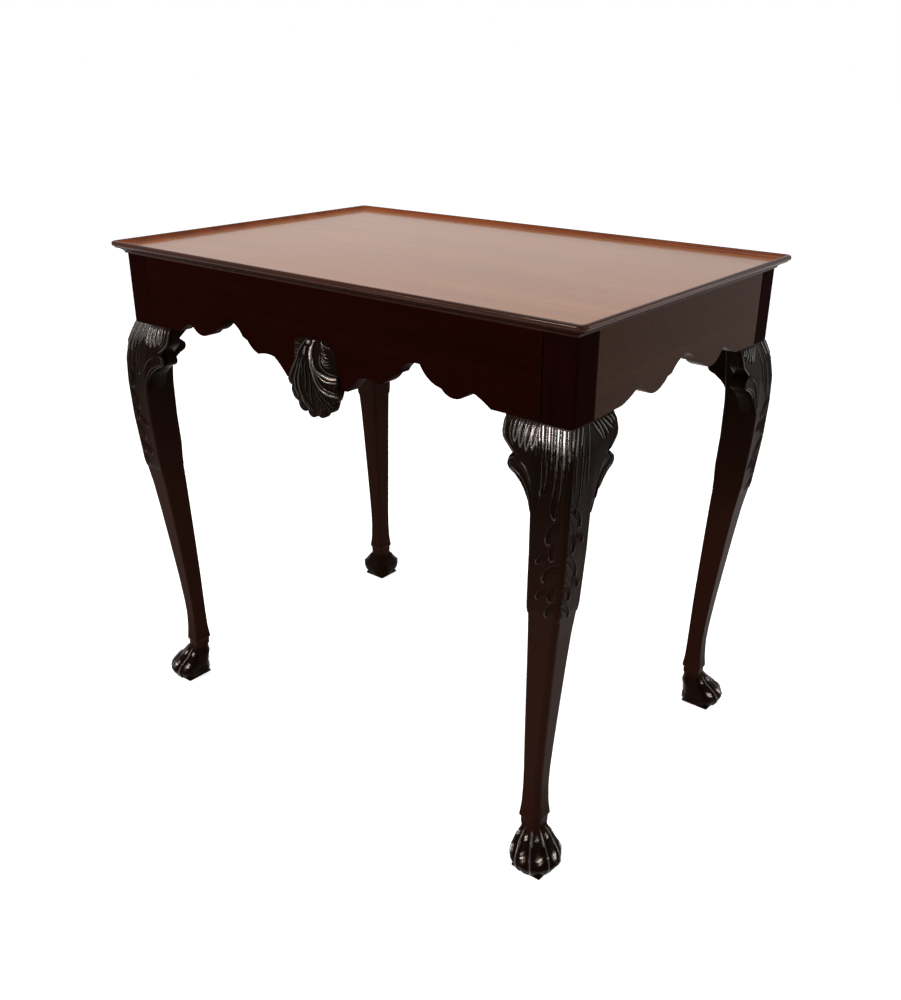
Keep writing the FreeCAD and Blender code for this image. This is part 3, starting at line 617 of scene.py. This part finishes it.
def leg_ring(centre, width, arris):
    """Points and outward directions of one section, as insets."""
    half = width / 2
    places, normals = [], []
    for side, kind, value in leg_columns:
        along, out = side_along[side], side_out[side]
        first_r = width * (arris if side == 1 else eased_share)
        last_r = width * (arris if side == 0 else eased_share)
        if kind == "straight":
            start, end = first_r - half, half - last_r
            places.append(centre + along * (start + (end - start) * value) + out * half)
            normals.append(out)
        else:
            r = first_r if kind == "first" else last_r
            sign = -1 if kind == "first" else 1
            normal = out * math.cos(value) + along * sign * math.sin(value)
            places.append(centre + along * sign * (half - r) + out * (half - r) + normal * r)
            normals.append(normal)
    return np.array(places), np.array(normals)


toe_step, toe_count = math.radians(39), 5
# The paw's levels: height, reach of the toes, and reach of the heel
paw_levels = np.array([
    (3.4, 28.0, 29.6), (7.0, 30.6, 29.8), (12.0, 33.8, 29.8), (18.6, 36.2, 29.0), (25.0, 36.2, 27.5),
    (32.0, 33.4, 25.2), (39.0, 29.0, 22.6), (46.0, 24.4, 19.4), (53.0, 19.4, 16.8), (60.0, 16.0, 15.2)])
# Knuckles, and the dip before the claws: height of the middle, spread up and down, and rise
upper_knuckle, lower_knuckle, claw_dip = (49, 3.4, 2.1), (31, 4.8, 2.4), (9.0, 2.6, 0.9)
web_half_width, web_height, toe_ground, cushion_share = 1.6, 2.9, 2.0, 0.56
toe_edge_turn, toe_edge_depth, heel_flat_share = 0.06, 1.7, 0.35


def paw_reach(turn, z):
    """Distance from the foot's middle to its skin, turned from the outward diagonal, and the carving's
    height: five knuckled toes with a thin rib between each two, and a plain heel."""
    toes = float(np.interp(z, paw_levels[:, 0], paw_levels[:, 1]))
    heel = float(np.interp(z, paw_levels[:, 0], paw_levels[:, 2]))
    on_toes = float(np.interp(z, [3.4, 8, 53, 59], [0.5, 1.0, 1.0, 0.0]))
    edge = toe_step * toe_count / 2
    phase = (turn + edge) / toe_step
    across = 2 * (phase - np.floor(phase)) - 1
    away = (1 - np.abs(across)) * toe_step / 2 * toes
    uneven = 0.35 * np.sin(phase * 7.3 + z * 0.9)
    knobs = 0.8 * np.sin(phase * 31.0 + z * 0.6) * np.sin(z * 1.1 - phase * 13.0)
    knuckles = 0
    for (middle, spread, rise), lean in ((upper_knuckle, 3), (lower_knuckle, 4)):
        knuckles = knuckles + (rise + knobs) * np.exp(-((z - middle - uneven * lean) / spread) ** 2)
    knuckles = knuckles - claw_dip[2] * np.exp(-((z - claw_dip[0]) / claw_dip[1]) ** 2)
    cushion = -toe_ground + (1.2 + knuckles) * np.exp(-(across / cushion_share) ** 2)
    between = (np.abs(turn) < edge - toe_step / 4) & (away < web_half_width)
    web = web_height * np.sqrt(np.clip(1 - (away / web_half_width) ** 2, 0, 1)) - toe_ground
    carve = np.where(between, np.maximum(cushion, web), cushion) * on_toes
    carve = np.where(np.abs(turn) > edge - toe_edge_turn, -toe_edge_depth * on_toes, carve)
    x1, y1 = (toes - toe_edge_depth) * math.cos(edge), (toes - toe_edge_depth) * math.sin(edge)
    x2, y2 = -heel, heel * heel_flat_share
    away = np.clip(np.abs(turn), edge, math.pi)
    dx, dy = np.cos(away), np.sin(away)
    to_side = (x1 * (y2 - y1) - y1 * (x2 - x1)) / (dx * (y2 - y1) - dy * (x2 - x1))
    to_back = heel / np.maximum(np.cos(math.pi - np.abs(turn)), 0.05)
    plain = np.where(math.pi - np.abs(turn) < math.atan(heel_flat_share), to_back, to_side)
    is_toe = np.abs(turn) < edge
    # The toes' heights are raised for the material, so that the knuckles take the rubbed brown, the coat and
    # the painted highlight
    worn = carve + (0.3 + 1.0 * np.clip((carve - 0.2) / 0.8, 0, 1)) * on_toes
    rubbed = np.where(between & (web > cushion), 1.3 * on_toes, worn)
    return np.where(is_toe, toes + carve, plain), np.where(is_toe, rubbed, 0)


def shape_leg():
    """The leg in insets and heights, ring by ring from the post down, and the carving's height."""
    levels = np.concatenate([
        np.linspace(rail_top, knee_top + plain_step, 3), [knee_top + 0.4],
        np.arange(knee_top, leaf_end - leaf_overrun, -carved_step),
        np.arange(leaf_end - leaf_overrun - 0.4, ankle, -plain_step),
        np.arange(ankle - plain_step, collar + 6, -plain_step),
        np.arange(collar + 4, pad_thickness, -paw_step), [pad_thickness]])
    middles, widths, places, normals = [], [], [], []
    for z in levels:
        middle, width = (np.full(2, post_width / 2), post_width) if z > knee_top else leg_at(max(z, neck))
        arris = float(np.interp(z, [ankle, leaf_end, knee_top],
                                [ankle_arris_share, arris_share, knee_arris_share]))
        ring, out = leg_ring(middle, width, arris)
        middles.append(middle)
        widths.append(width)
        places.append(ring)
        normals.append(out)
    middles, widths, places, normals = (np.array(rows) for rows in (middles, widths, places, normals))
    z = np.repeat(levels[:, None], len(leg_columns), 1)
    carve = np.zeros(z.shape)
    knee = (levels <= knee_top) & (levels > leaf_end - 1)
    for side in (0, 1):
        face = np.ix_(knee, column_side == side)
        arris = middles[knee, side] - widths[knee] / 2
        carve[face] = knee_carving(places[..., side][face] - arris[:, None], z[face], side == 1)
    ending, narrowing = (np.clip((leaf_end + length - levels) / length, 0, 1)
                         for length in (end_length, plain_end_length))
    share = np.where(column_side < 2, (1 - np.sqrt(1 - ending ** 2))[:, None],
                     (0.5 - 0.5 * np.cos(math.pi * narrowing))[:, None])
    excess = np.clip(widths - leg_at(leaf_end - below_leaf)[1], 0, None) / 2
    places = places + normals * (carve - excess[:, None] * share)[..., None]
    for row in np.nonzero(levels < neck)[0]:
        height = levels[row]
        share = float(np.interp(height, [pad_thickness, 18.6, 30.0, 43.0, neck], [0.0, 0.0, 0.28, 0.76, 1.0]))
        ray = places[row] - middles[row]
        own = np.hypot(ray[:, 0], ray[:, 1])
        turn = np.arctan2(ray[:, 0] - ray[:, 1], -(ray[:, 0] + ray[:, 1]))
        reach, carved = paw_reach(turn, height)
        mix = np.clip((height - neck + 6) / 6, 0, 1)
        reach = reach * (1 - mix) + own * mix
        places[row] = foot_inset + (ankle_inset - foot_inset) * share + ray / own[:, None] * reach[:, None]
        carve[row] = carved * (1 - mix)
    return np.dstack([places, z]), carve


def pad_rings():
    """The square pad under the paw, its corners and arrises eased."""
    rings = []
    top = pad_thickness + pad_lap
    for half, z in ((pad_width / 2 - pad_ease, 0.0), (pad_width / 2, pad_ease),
                    (pad_width / 2, top - pad_ease), (pad_width / 2 - pad_ease, top)):
        cut = half - pad_corner
        corners = [(-cut, -half), (cut, -half), (half, -cut), (half, cut), (cut, half), (-cut, half),
                   (-half, cut), (-half, -cut)]
        rings.append([(foot_inset[0] + a, foot_inset[1] + b, z) for a, b in corners])
    return np.array(rings)


def at_corner(points, sx, sy):
    """From insets to the table's own places, at one of its corners."""
    return np.column_stack([sx * (frieze_x - points[:, 0]), sy * (frieze_y - points[:, 1]), points[:, 2]])


# The posts above the knees are waxed like the long rails. The carved wood has been waxed for longest, so
# it is blackest in its hollows and mirrors the lamps on its rubbed edges; its highest places carry pale
# patches of painted highlight.
post_wood = mahogany("waxed_mahogany_upright", "#0d0302", "#180503", 2, 0.34, 0.001, 0.0, 0.2)
carved_wood = mahogany("carved_waxed_mahogany", "#0a0603", "#150b07", 2, 0.3, 0.012, 1.0, 0.19, carved=True)
leg_rings, leg_carve = shape_leg()
for corner, sx, sy in (("front_right", 1, -1), ("front_left", -1, -1), ("back_right", 1, 1),
                       ("back_left", -1, 1)):
    points, faces = skin(leg_rings, flip=sx * sy < 0)
    pad_points, pad_faces = skin(pad_rings(), flip=sx * sy < 0)
    faces = faces + [[index + len(points) for index in face] for face in pad_faces]
    carve = np.concatenate([leg_carve.ravel(), np.zeros(2 + len(pad_points))])
    leg = worked_piece("leg_" + corner + "_shown", at_corner(np.vstack([points, pad_points]), sx, sy), faces,
                       carved_wood, "leg_" + corner, carve=carve, sharp=55)
    repaint(leg, post_wood, lambda face: face.center.z > knee_top * MM)

# The ears: eight carved mahogany brackets glued between the knees and the rails. Each front runs on from
# its knee; its edge turns round a scroll to a notch, and round a second scroll below it.
ear_length, ear_drop, ear_depth, ear_end_relief, ear_tuck = 90.0, 104.0, 14.0, 9.0, 8.0
ear_columns, ear_step, tuck_depth, tuck_ease = 84, 0.65, 1.1, 5.0
# The edges of the ears on the long and the short rails: drops below the rail, and lengths in from the
# frieze's corner
ear_turns = [(48, 79), (54, 79.8), (58, 77.4), (60.5, 73), (62, 68.4), (65, 64), (70, 56.8), (75.6, 51.5)]
long_ear_edge = np.array(
    [(0, 90.6), (8, 91.8), (18.7, 91.6), (24, 90.2), (28, 87), (31, 83.6), (34, 79.8), (37, 76.4),
     (39.7, 73), (41.6, 74.6), (44, 76.8)] + ear_turns + [(83, 47), (91, 43.6), (104, 39.6)])
short_ear_edge = np.array(
    [(0, 89.2), (8, 89.8), (18.7, 89.5), (24, 88), (28, 84.3), (31, 80.6), (34, 76.5), (37, 72.4),
     (39.7, 68.3), (41.6, 71.4), (44, 74.6)] + ear_turns + [(83, 44.6), (91, 39.4), (104, 33.2)])
# Strokes on the ears: lengths in, drops and half widths. The long ears' flutes: length in to the middle,
# drop of the lower end and half width. The short ears' strokes: lengths in and drops.
lower_roll = [(70, 48, 0.8), (73.5, 52, 1.2), (70.5, 56.5, 1.3), (64, 59, 1.2), (57.5, 62, 1.1),
              (50.5, 67.5, 1.1), (45, 75, 1.0), (41, 84, 0.9), (38, 94, 0.6)]
lower_hollow = [(66, 52, 2.0), (60, 54, 4.0), (52, 58, 4.6), (45, 66, 4.0), (40, 78, 2.5)]
inner_vein = [(58, 46, 0.6), (51, 50, 0.9), (44, 57, 0.9), (39, 67, 0.6)]
upper_rim = [(87.4, 2.0, 1.3), (87.6, 14, 1.5), (85.4, 23.4, 1.6), (79.6, 29.6, 1.5), (73.5, 34.5, 1.3),
             (67.5, 38.6, 0.8)]
lower_rim = [(67, 43.5, 0.8), (72.5, 45.5, 1.3), (77.0, 50.0, 1.6), (77.2, 55.2, 1.6), (73.0, 58.6, 1.5),
             (66.4, 61.4, 1.3), (60.5, 65, 1.2), (53.5, 71, 1.1), (48, 78.5, 1.0), (44.5, 86, 0.8)]
outer_vein = [(78.5, 2, 0.9), (79.5, 12, 1.1), (77.5, 22, 1.0), (71, 31, 0.7)]
long_ear_flutes = [(70.5, 25.0, 3.7), (61.5, 29.0, 3.9), (52.5, 31.0, 3.7), (44.5, 28.0, 3.4)]
short_ear_strokes = [
    ((41, 1), (45, 8), (50, 15), (54, 22)), ((48, 1), (52.5, 8), (55.5, 15), (57.5, 24)),
    ((54.5, 1), (59.5, 8), (63.5, 14), (66.5, 20)), ((61, 1), (66.5, 7), (71.5, 12), (76, 16)),
    ((70, 1), (73, 4), (75.5, 8), (77, 11)), ((78, 1), (80, 4), (81.5, 7), (82, 9))]
edge_hollow_depth, edge_roll = 1.5, 2.6


def ear_carving(a, d, on_end):
    """Height of the carving at a length a from the frieze's corner, and a drop d below the rail."""
    h = np.zeros(a.shape)
    edge = short_ear_edge if on_end else long_ear_edge
    inside = np.interp(d, edge[:, 0], edge[:, 1]) - a
    h = h - (edge_hollow_depth * np.exp(-((inside - 5.0) / 3.2) ** 2)
             * np.clip((d - 34) / 8, 0, 1) * np.clip((96 - d) / 14, 0, 1))
    h = rib(h, a, d, lower_roll, 1.0, base=-0.4)
    h = scoop(h, a, d, lower_hollow, 0.9)
    h = rib(h, a, d, inner_vein, 1.0, base=-0.3)
    if on_end:
        for places in short_ear_strokes:
            stops = [(*place, wide) for place, wide in zip(places, (1.0, 1.4, 1.3, 0.7))]
            h = rib(h, a, d, stops, 1.6, base=-0.1)
            h = scoop(h, a, d, [(length + 3.0, drop, 1.6) for length, drop in places], 0.7)
    else:
        for middle, low, wide in long_ear_flutes:
            h = scoop(h, a, d, [(middle, 4, wide * 0.7), (middle, low * 0.5, wide),
                                (middle - 0.8, low - 3, wide * 0.8)], 0.9)
            for side in (-1, 1):
                h = rib(h, a, d, [(middle + side * wide * 0.62, 1.5, 1.5),
                                  (middle + side * wide * 0.8, low * 0.4, 1.9),
                                  (middle + side * wide * 0.7, low * 0.75, 1.7),
                                  (middle - 0.8, low + 1.5, 0.9)], 1.8, base=0.0, crown=3)
            h = rib(h, a, d, [(middle, 3, 0.7), (middle, low * 0.55, 0.9), (middle - 0.5, low * 0.8, 0.5)],
                    1.3, base=-0.6)
        h = rib(h, a, d, outer_vein, 1.1, base=-0.2)
    h = rib(h, a, d, upper_rim, 1.0, base=0.0)
    h = rib(h, a, d, lower_rim, 0.9, base=-0.2)
    return h - edge_roll * np.clip(1 - inside / edge_roll, 0, 1) ** 2


def shape_ear(along, out, on_end):
    """Rings of an ear from its top down: length in from the corner, relief and height. Along and out say
    which of the leg's two insets lies along the rail, and which out from it."""
    outline = short_ear_edge if on_end else long_ear_edge
    shares = np.linspace(0, 1, ear_columns)
    drops = np.arange(0.0, ear_drop + 0.1, ear_step)
    lengths, fronts, edges = [], [], []
    for drop in drops:
        middle, width = leg_at(knee_top - drop)
        root, root_relief = middle[along] + width / 2, width / 2 - middle[out]
        edge = float(np.interp(drop, outline[:, 0], outline[:, 1]))
        a = root - ear_tuck + (edge - root + ear_tuck) * shares
        swell = float(np.interp(drop / ear_drop, [0, 0.06, 0.16, 0.26, 0.42, 0.7, 1.0],
                                [0, 0.34, 0.66, 0.86, 1.0, 0.95, 0.78]))
        beyond = np.clip((a - root) / (ear_length - root), 0, 1)
        tucked = np.clip((root - ear_tuck + tuck_ease - a) / tuck_ease, 0, 1) ** 2
        at_root = root_relief - 0.1 - tuck_depth * tucked
        fronts.append(at_root * (1 - beyond) + ear_end_relief * swell * beyond)
        lengths.append(a)
        edges.append(edge)
    a, fronts = np.array(lengths), np.array(fronts)
    d = np.repeat(drops[:, None], len(shares), 1)
    carve = ear_carving(a, d, on_end) * np.clip((a - a[:, :1]) / 6.0, 0, 1)
    fronts = fronts + carve * np.clip(0.3 + d / 3, 0, 1)
    rings, heights = [], []
    for row, drop in enumerate(drops):
        edge, first = edges[row], a[row, 0]
        ring = [(p, q) for p, q in zip(a[row], fronts[row])]
        ring += [(edge - 0.1, min(fronts[row, -1] - 1.0, 0.0)), (edge, -ear_depth * 0.6)]
        ring += [(p, -ear_depth) for p in np.linspace(edge - 0.6, first, 8)] + [(first, -ear_depth * 0.4)]
        rings.append([(p, q, knee_top - drop) for p, q in ring])
        heights.append(np.concatenate([carve[row], np.zeros(len(ring) - len(shares))]))
    return np.array(rings), np.array(heights)


long_ear, short_ear = shape_ear(0, 1, False), shape_ear(1, 0, True)
for sx, sy in ((1, -1), (-1, -1), (1, 1), (-1, 1)):
    end, face = ("right" if sx > 0 else "left"), ("back" if sy > 0 else "front")
    for name, (rings, heights), long in ((f"ear_{face}_rail_{end}", long_ear, True),
                                         (f"ear_{end}_rail_{face}", short_ear, False)):
        length, relief, z = rings[..., 0], rings[..., 1], rings[..., 2]
        insets = np.stack([length, -relief, z] if long else [-relief, length, z], -1)
        points, faces = skin(insets, flip=(sx * sy > 0) == long)
        worked_piece(name + "_shown", at_corner(points, sx, sy), faces, carved_wood, name,
                     carve=np.concatenate([heights.ravel(), [0, 0]]))

# The shells: one on each long rail, carved from its own block and hooked under the rail's edge. Thin ribs
# sweep down from two small scrolls over broad shallow hollows, longer towards the right.
shell_left, shell_right, shell_height, shell_relief, shell_back = 47.0, 46.5, 106.0, 13.0, 14.0
shell_seat_height, shell_sink, shell_points, shell_ground = 44.0, 1.6, 440, 0.7
skin_thickness, edge_wall, edge_settle, fullest, hug_share, thinnest = 0.4, 6.4, 0.022, 0.86, 0.8, 0.6
carve_share, least_rubbed, more_rubbed_and_highlit = 0.85, 0.6, 0.34
shell_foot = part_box("shell_front")[0][2] / MM
shell_crown = shell_foot + shell_height - shell_sink
# The edge as shares of the half widths and of the height: one place is a line, two are an arc
shell_edge_shares = [
    ((0.10, 0.0),), ((-0.36, 0.0),), ((-0.80, 0.05),), ((-0.86, 0.30),), ((-1.0, 0.53),),
    ((-0.98, 0.60), (-0.86, 0.64)), ((-0.84, 0.76), (-0.62, 0.83)), ((-0.47, 0.94), (-0.24, 0.92)),
    ((-0.06, 1.0), (0.12, 0.94)), ((0.38, 0.97), (0.54, 0.87)), ((0.80, 0.85), (0.88, 0.73)),
    ((1.04, 0.66), (0.98, 0.53)), ((0.88, 0.30),), ((0.80, 0.12),), ((0.46, 0.0),)]
# Ribs in the shell, as places across and down from its crown with half widths, then rise and base: the
# two bold ribs with their twins, the fine ones of the left and right fans, and the foot's short ones
shell_ribs = [
    (((-9, 5, 1.9), (-10, 17, 2.5), (-6, 32, 2.0), (-1, 45, 1.6), (1, 51, 1.5), (9, 62, 1.6), (21, 69, 2.0),
      (41, 72, 2.2)), 2.6, 0.2),
    (((-3, 34, 0.8), (2, 44, 1.0), (9, 56, 1.1), (20, 64, 1.1), (38, 67.5, 1.0)), 1.4, 0.0),
    (((-4, 24, 1.0), (-1, 32, 1.3), (5, 40, 1.7), (15, 45.5, 2.2), (27, 48.8, 2.4),
      (41, 49, 1.8)), 2.8, 0.3),
    (((3, 42, 0.8), (13, 50, 1.3), (23, 53.6, 1.6), (42, 54, 1.4)), 2.2, 0.2),
    (((7, 19, 0.8), (8, 28, 1.1), (13, 36.4, 1.1), (23, 43, 1.0), (37, 46.2, 0.8)), 1.6, 0.0),
    (((-18, 1, 1.1), (-28, 16, 1.3), (-31, 27, 1.2), (-37, 40, 1.2), (-41, 49.4, 1.1),
      (-42, 57, 0.9)), 1.6, 0.0),
    (((-34, 32, 0.8), (-41, 42, 0.9), (-46, 49, 0.8)), 1.2, -0.2),
    (((-35, 38, 0.8), (-38.5, 47.6, 1.0), (-40, 58, 0.8)), 1.2, -0.2),
    (((-26, 26.6, 0.9), (-29, 39, 1.2), (-32, 54.6, 1.3), (-31, 69.7, 1.2), (-27, 81, 0.9)), 1.6, -0.2),
    (((-20, 23.7, 0.9), (-24, 38.6, 1.2), (-26, 57, 1.4), (-24, 72, 1.3), (-19, 86.8, 1.2),
      (-9, 97, 0.9)), 1.6, -0.2),
    (((-22, 31, 0.7), (-20, 38, 1.0), (-20, 49, 0.8)), 1.2, -0.4),
    (((-14, 28.5, 0.8), (-16, 38, 1.0), (-15, 52, 1.0), (-16, 70, 0.9)), 1.2, -0.4),
    (((-9, 40, 0.7), (-8, 56, 1.0), (-9, 74, 1.0), (-7, 90, 0.9)), 1.1, -0.4),
    (((-21, 78, 0.7), (-15, 86.4, 0.9), (-5, 97.6, 0.8)), 1.2, -0.3),
    (((-2, 58, 0.7), (4, 72, 1.0), (12, 84, 1.0), (17, 94, 0.8)), 1.1, -0.4),
    (((4, 63, 0.7), (13, 74, 1.0), (24, 83, 1.0), (31, 88, 0.8)), 1.1, -0.4),
    (((13, 90, 0.8), (6, 95, 0.9), (11, 99.5, 0.8)), 1.0, -0.3),
    (((17, 83, 0.8), (23, 92, 0.9)), 1.1, -0.3),
    (((23, 81, 0.8), (29, 88, 0.9)), 1.1, -0.3),
    (((29, 79, 0.8), (37, 84, 0.9)), 1.1, -0.3),
    (((-18, 10, 1.3), (-18.6, 15, 1.8), (-19, 20.6, 2.1)), 2.8, 0.2),
    (((4, 1, 0.9), (11, 8.5, 1.1), (28, 12, 0.9)), 1.3, 0.0),
    (((5, 4, 0.8), (10, 11.6, 1.0), (13, 13, 0.7)), 1.2, 0.0),
    (((7, 8, 0.8), (13, 18, 1.0), (17, 19.3, 0.8)), 1.3, 0.0),
    (((8, 16, 0.9), (15, 22.5, 1.2), (20, 23.6, 0.9)), 1.5, 0.1),
    (((9, 21.6, 0.9), (16, 27.8, 1.3), (21, 28, 1.0)), 1.6, 0.1),
    (((10, 26, 0.9), (17, 31.5, 1.3), (23, 31.2, 1.0)), 1.6, 0.1),
    (((12, 30.4, 0.8), (19, 35, 1.1), (25, 35, 0.8)), 1.3, 0.0),
]
# The comb's short bars at the left of the crown, which reach out over the rail
shell_bars = [((-37, 8.7), (-28, 9.8)), ((-37, 16.8), (-29, 17.8)), ((-37, 22), (-30, 22.7)),
              ((-37, 27), (-31, 27))]
# The two scrolls' beads: places across and down from the crown, and radii
shell_beads = [(-14.7, 4.4, 3.3), (-6.5, 1.6, 3.0)]
bead_height, bead_base = 3.0, 0.4


def arc_through(start, via, end, count=7):
    """Points along the arc from start through via to end, without the start."""
    (ax, ay), (bx, by), (cx, cy) = start, via, end
    d = 2 * (ax * (by - cy) + bx * (cy - ay) + cx * (ay - by))
    a2, b2, c2 = ax ** 2 + ay ** 2, bx ** 2 + by ** 2, cx ** 2 + cy ** 2
    ux = (a2 * (by - cy) + b2 * (cy - ay) + c2 * (ay - by)) / d
    uy = (a2 * (cx - bx) + b2 * (ax - cx) + c2 * (bx - ax)) / d
    r = math.hypot(ax - ux, ay - uy)
    t0, t1, t2 = (math.atan2(y - uy, x - ux) for x, y in (start, via, end))
    turn = (t2 - t0) % (2 * math.pi)
    if (t1 - t0) % (2 * math.pi) > turn:
        turn -= 2 * math.pi
    return [(ux + r * math.cos(t0 + turn * k / count), uy + r * math.sin(t0 + turn * k / count))
            for k in range(1, count + 1)]


def shell_outline():
    """The shell's edge seen from the front: places across, and down from its crown."""
    def at(across, down):
        return ((shell_left if across < 0 else shell_right) * across, shell_height * down)
    points = [at(*shell_edge_shares[-1][0])]
    for run in shell_edge_shares:
        if len(run) == 1:
            start, end = points[-1], at(*run[0])
            points += [(start[0] + (end[0] - start[0]) * k / 6, start[1] + (end[1] - start[1]) * k / 6)
                       for k in range(1, 7)]
        else:
            points += arc_through(points[-1], at(*run[0]), at(*run[1]))
    return np.array(points[:-1])


def shell_carving(x, d):
    """Height of the carving over the shell's own dome."""
    hollow_width_share, hollow_depth = 3.2, 0.35
    h = -shell_ground + 0.25 * np.sin(x * 0.9 + d * 0.35) * np.clip((d - 30) / 30, 0, 1)
    for stops, rise, base in shell_ribs:
        h = scoop(h, x, d, [(p, q, w * hollow_width_share) for p, q, w in stops], hollow_depth)
    for stops, rise, base in shell_ribs:
        h = rib(h, x, d, stops, rise, base)
    for (x0, d0), (x1, d1) in shell_bars:
        h = rib(h, x, d, [(x0, d0, 0.7), ((x0 + x1) / 2, (d0 + d1) / 2, 1.1), (x1, d1, 0.8)], 1.2)
    for cx, cd, r in shell_beads:
        away = np.hypot(x - cx, d - cd)
        bead = bead_height * np.sqrt(np.clip(1 - (away / r) ** 2, 0, 1)) + bead_base
        h = np.where(away < r, np.maximum(h, bead), h)
    return h


def shape_shell():
    """Rings from the middle of the back round the edge to the middle of the front."""
    edge = shell_outline()
    middle = np.array([0.0, shell_height * 0.45])
    loop = np.vstack([edge, edge[:1]])
    lengths = np.concatenate([[0], np.cumsum(np.hypot(*np.diff(loop, axis=0).T))])
    places = np.linspace(0, lengths[-1], shell_points + 1)[:-1]
    rim = np.column_stack([np.interp(places, lengths, loop[:, k]) for k in (0, 1)])
    below_rail = shell_height - shell_seat_height + 0.6
    rings, heights = [], []
    for share in (0.02, 0.5, 0.80, 1.0):
        ring = middle + (rim - middle) * share
        behind = np.where(ring[:, 1] > below_rail, -shell_back if share < 1.0 else -1.0, 0.0)
        rings.append(np.column_stack([ring[:, 0], behind, ring[:, 1]]))
        heights.append(np.zeros(len(ring)))
    for share in np.concatenate([[1.0, 0.997, 0.99, 0.978], np.linspace(0.965, 0.02, 92)]):
        ring = middle + (rim - middle) * share
        across, down = ring.T
        # The ribs are shifted a little, since the photograph sees the dome's slope from the right
        carve = shell_carving(across - np.interp(across, [-40, -20, 0, 45], [0.5, 4.2, 8.6, 8.8]),
                              down + np.interp(across, [-10, 4, 22, 45], [0.0, 0.8, 3.0, 4.0]))
        settled = np.clip((1 - share) / edge_settle, 0, 1) ** 0.5
        free = np.interp(rim[:, 1] / shell_height, [0, 0.34, 0.56, 1.0], [0.0, 0.0, 1.0, 1.0])
        wall = skin_thickness + edge_wall * free
        fullness = np.interp(down / shell_height, [0, 0.11, 0.32, 0.66, 1.0], [0.35, 0.6, 0.95, 1.0, 0.8])
        top = shell_relief * fullest * fullness
        to_side = np.interp(np.abs(across) / shell_right, [0.3, 0.75], [0.0, 1.0])
        hugging = 1 - np.clip(down / shell_height / 0.34, 0, 1)
        rise = free * (1 - share ** 3.2) ** 0.6 + (1 - free) * (1 - share ** 2.6)
        rise = rise * (1 - hug_share * to_side * hugging)
        front = wall + (top - wall) * rise + (carve + shell_ground) * carve_share * settled
        rings.append(np.column_stack([across, np.clip(front, thinnest, None), down]))
        # Painted highlight: the carving's height is raised near the scrolls and at the tip of the ribs on the
        # right, so that the painted highlight falls there, with more rubbed brown and coat
        highlight_at_scroll = np.exp(-((across - 3) / 9) ** 2 - ((down - 14) / 16) ** 2)
        highlight_at_tip = np.exp(-((across - 44) / 14) ** 2 - ((down - 48) / 6) ** 2)
        rubbed = least_rubbed + more_rubbed_and_highlit * np.maximum(highlight_at_scroll, highlight_at_tip)
        heights.append(carve * settled * rubbed)
    return np.array(rings), np.array(heights)


shell_rings, shell_heights = shape_shell()
for side, turn in (("front", 1), ("back", -1)):
    x, out, d = shell_rings[..., 0], shell_rings[..., 1], shell_rings[..., 2]
    own = np.stack([turn * x, turn * (-frieze_y - out), shell_crown - d], -1)
    points, faces = skin(own)
    worked_piece("shell_" + side + "_shown", points, faces, carved_wood, "shell_" + side,
                 carve=np.concatenate([shell_heights.ravel(), [0, 0]]))

# Inside the frame: sawn pine glue blocks rubbed into the corner of rail and board, and corner blocks at the
# posts. Bare pine has darkened with age and is quite matt.
block_ease = 0.6
pine_ring_width, pine_ring_stretch = 6.0, 10.0


def patchy_material(name, dark, light, dark_to, light_from, patch_width, stretch, detail, shine):
    """A plain material whose colour wanders between two, in patches of a real width."""
    paint, tree = empty_material(name)
    place = node(tree, "ShaderNodeTexCoord").outputs["Object"]
    along = node(tree, "ShaderNodeMapping", {"Vector": place, "Scale": (1 / stretch, 1.0, 1.0)}).outputs[0]
    patches = node(tree, "ShaderNodeTexNoise", {
        "Vector": along, "Scale": 1 / (patch_width * MM), "Detail": detail}).outputs["Fac"]
    ramp = node(tree, "ShaderNodeValToRGB", {"Fac": patches})
    for stop, position, colour in ((0, dark_to, dark), (1, light_from, light)):
        ramp.color_ramp.elements[stop].position = position
        ramp.color_ramp.elements[stop].color = linear(colour)
    shader = node(tree, "ShaderNodeBsdfPrincipled", {"Base Color": ramp.outputs["Color"], **shine})
    node(tree, "ShaderNodeOutputMaterial", {"Surface": shader.outputs[0]})
    return paint


pine = patchy_material("aged_pine", "#7a5632", "#a98658", 0.35, 0.68, pine_ring_width, pine_ring_stretch, 4.0,
                       {"Roughness": 0.7, "Specular IOR Level": 0.3})
for side in ("front", "right", "back", "left"):
    plain_piece("glue_blocks_" + side + "_shown", "glue_blocks_" + side, pine, block_ease)
    for end in "ab":
        block_name = "corner_block_" + side + "_rail_" + end
        plain_piece(block_name + "_shown", block_name, pine, block_ease)

# The screws: six of wrought iron, from pockets in the rails up into the board. Their heads have gone dull,
# with a bloom of rust in fine patches.
rust_width = 1.4
iron = patchy_material("dull_wrought_iron", "#4a4744", "#5e4334", 0.4, 0.66, rust_width, 1.0, 3.0,
                       {"Roughness": 0.5, "Metallic": 1.0})
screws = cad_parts["top_screws"]
screws.data.materials.clear()
screws.data.materials.append(iron)
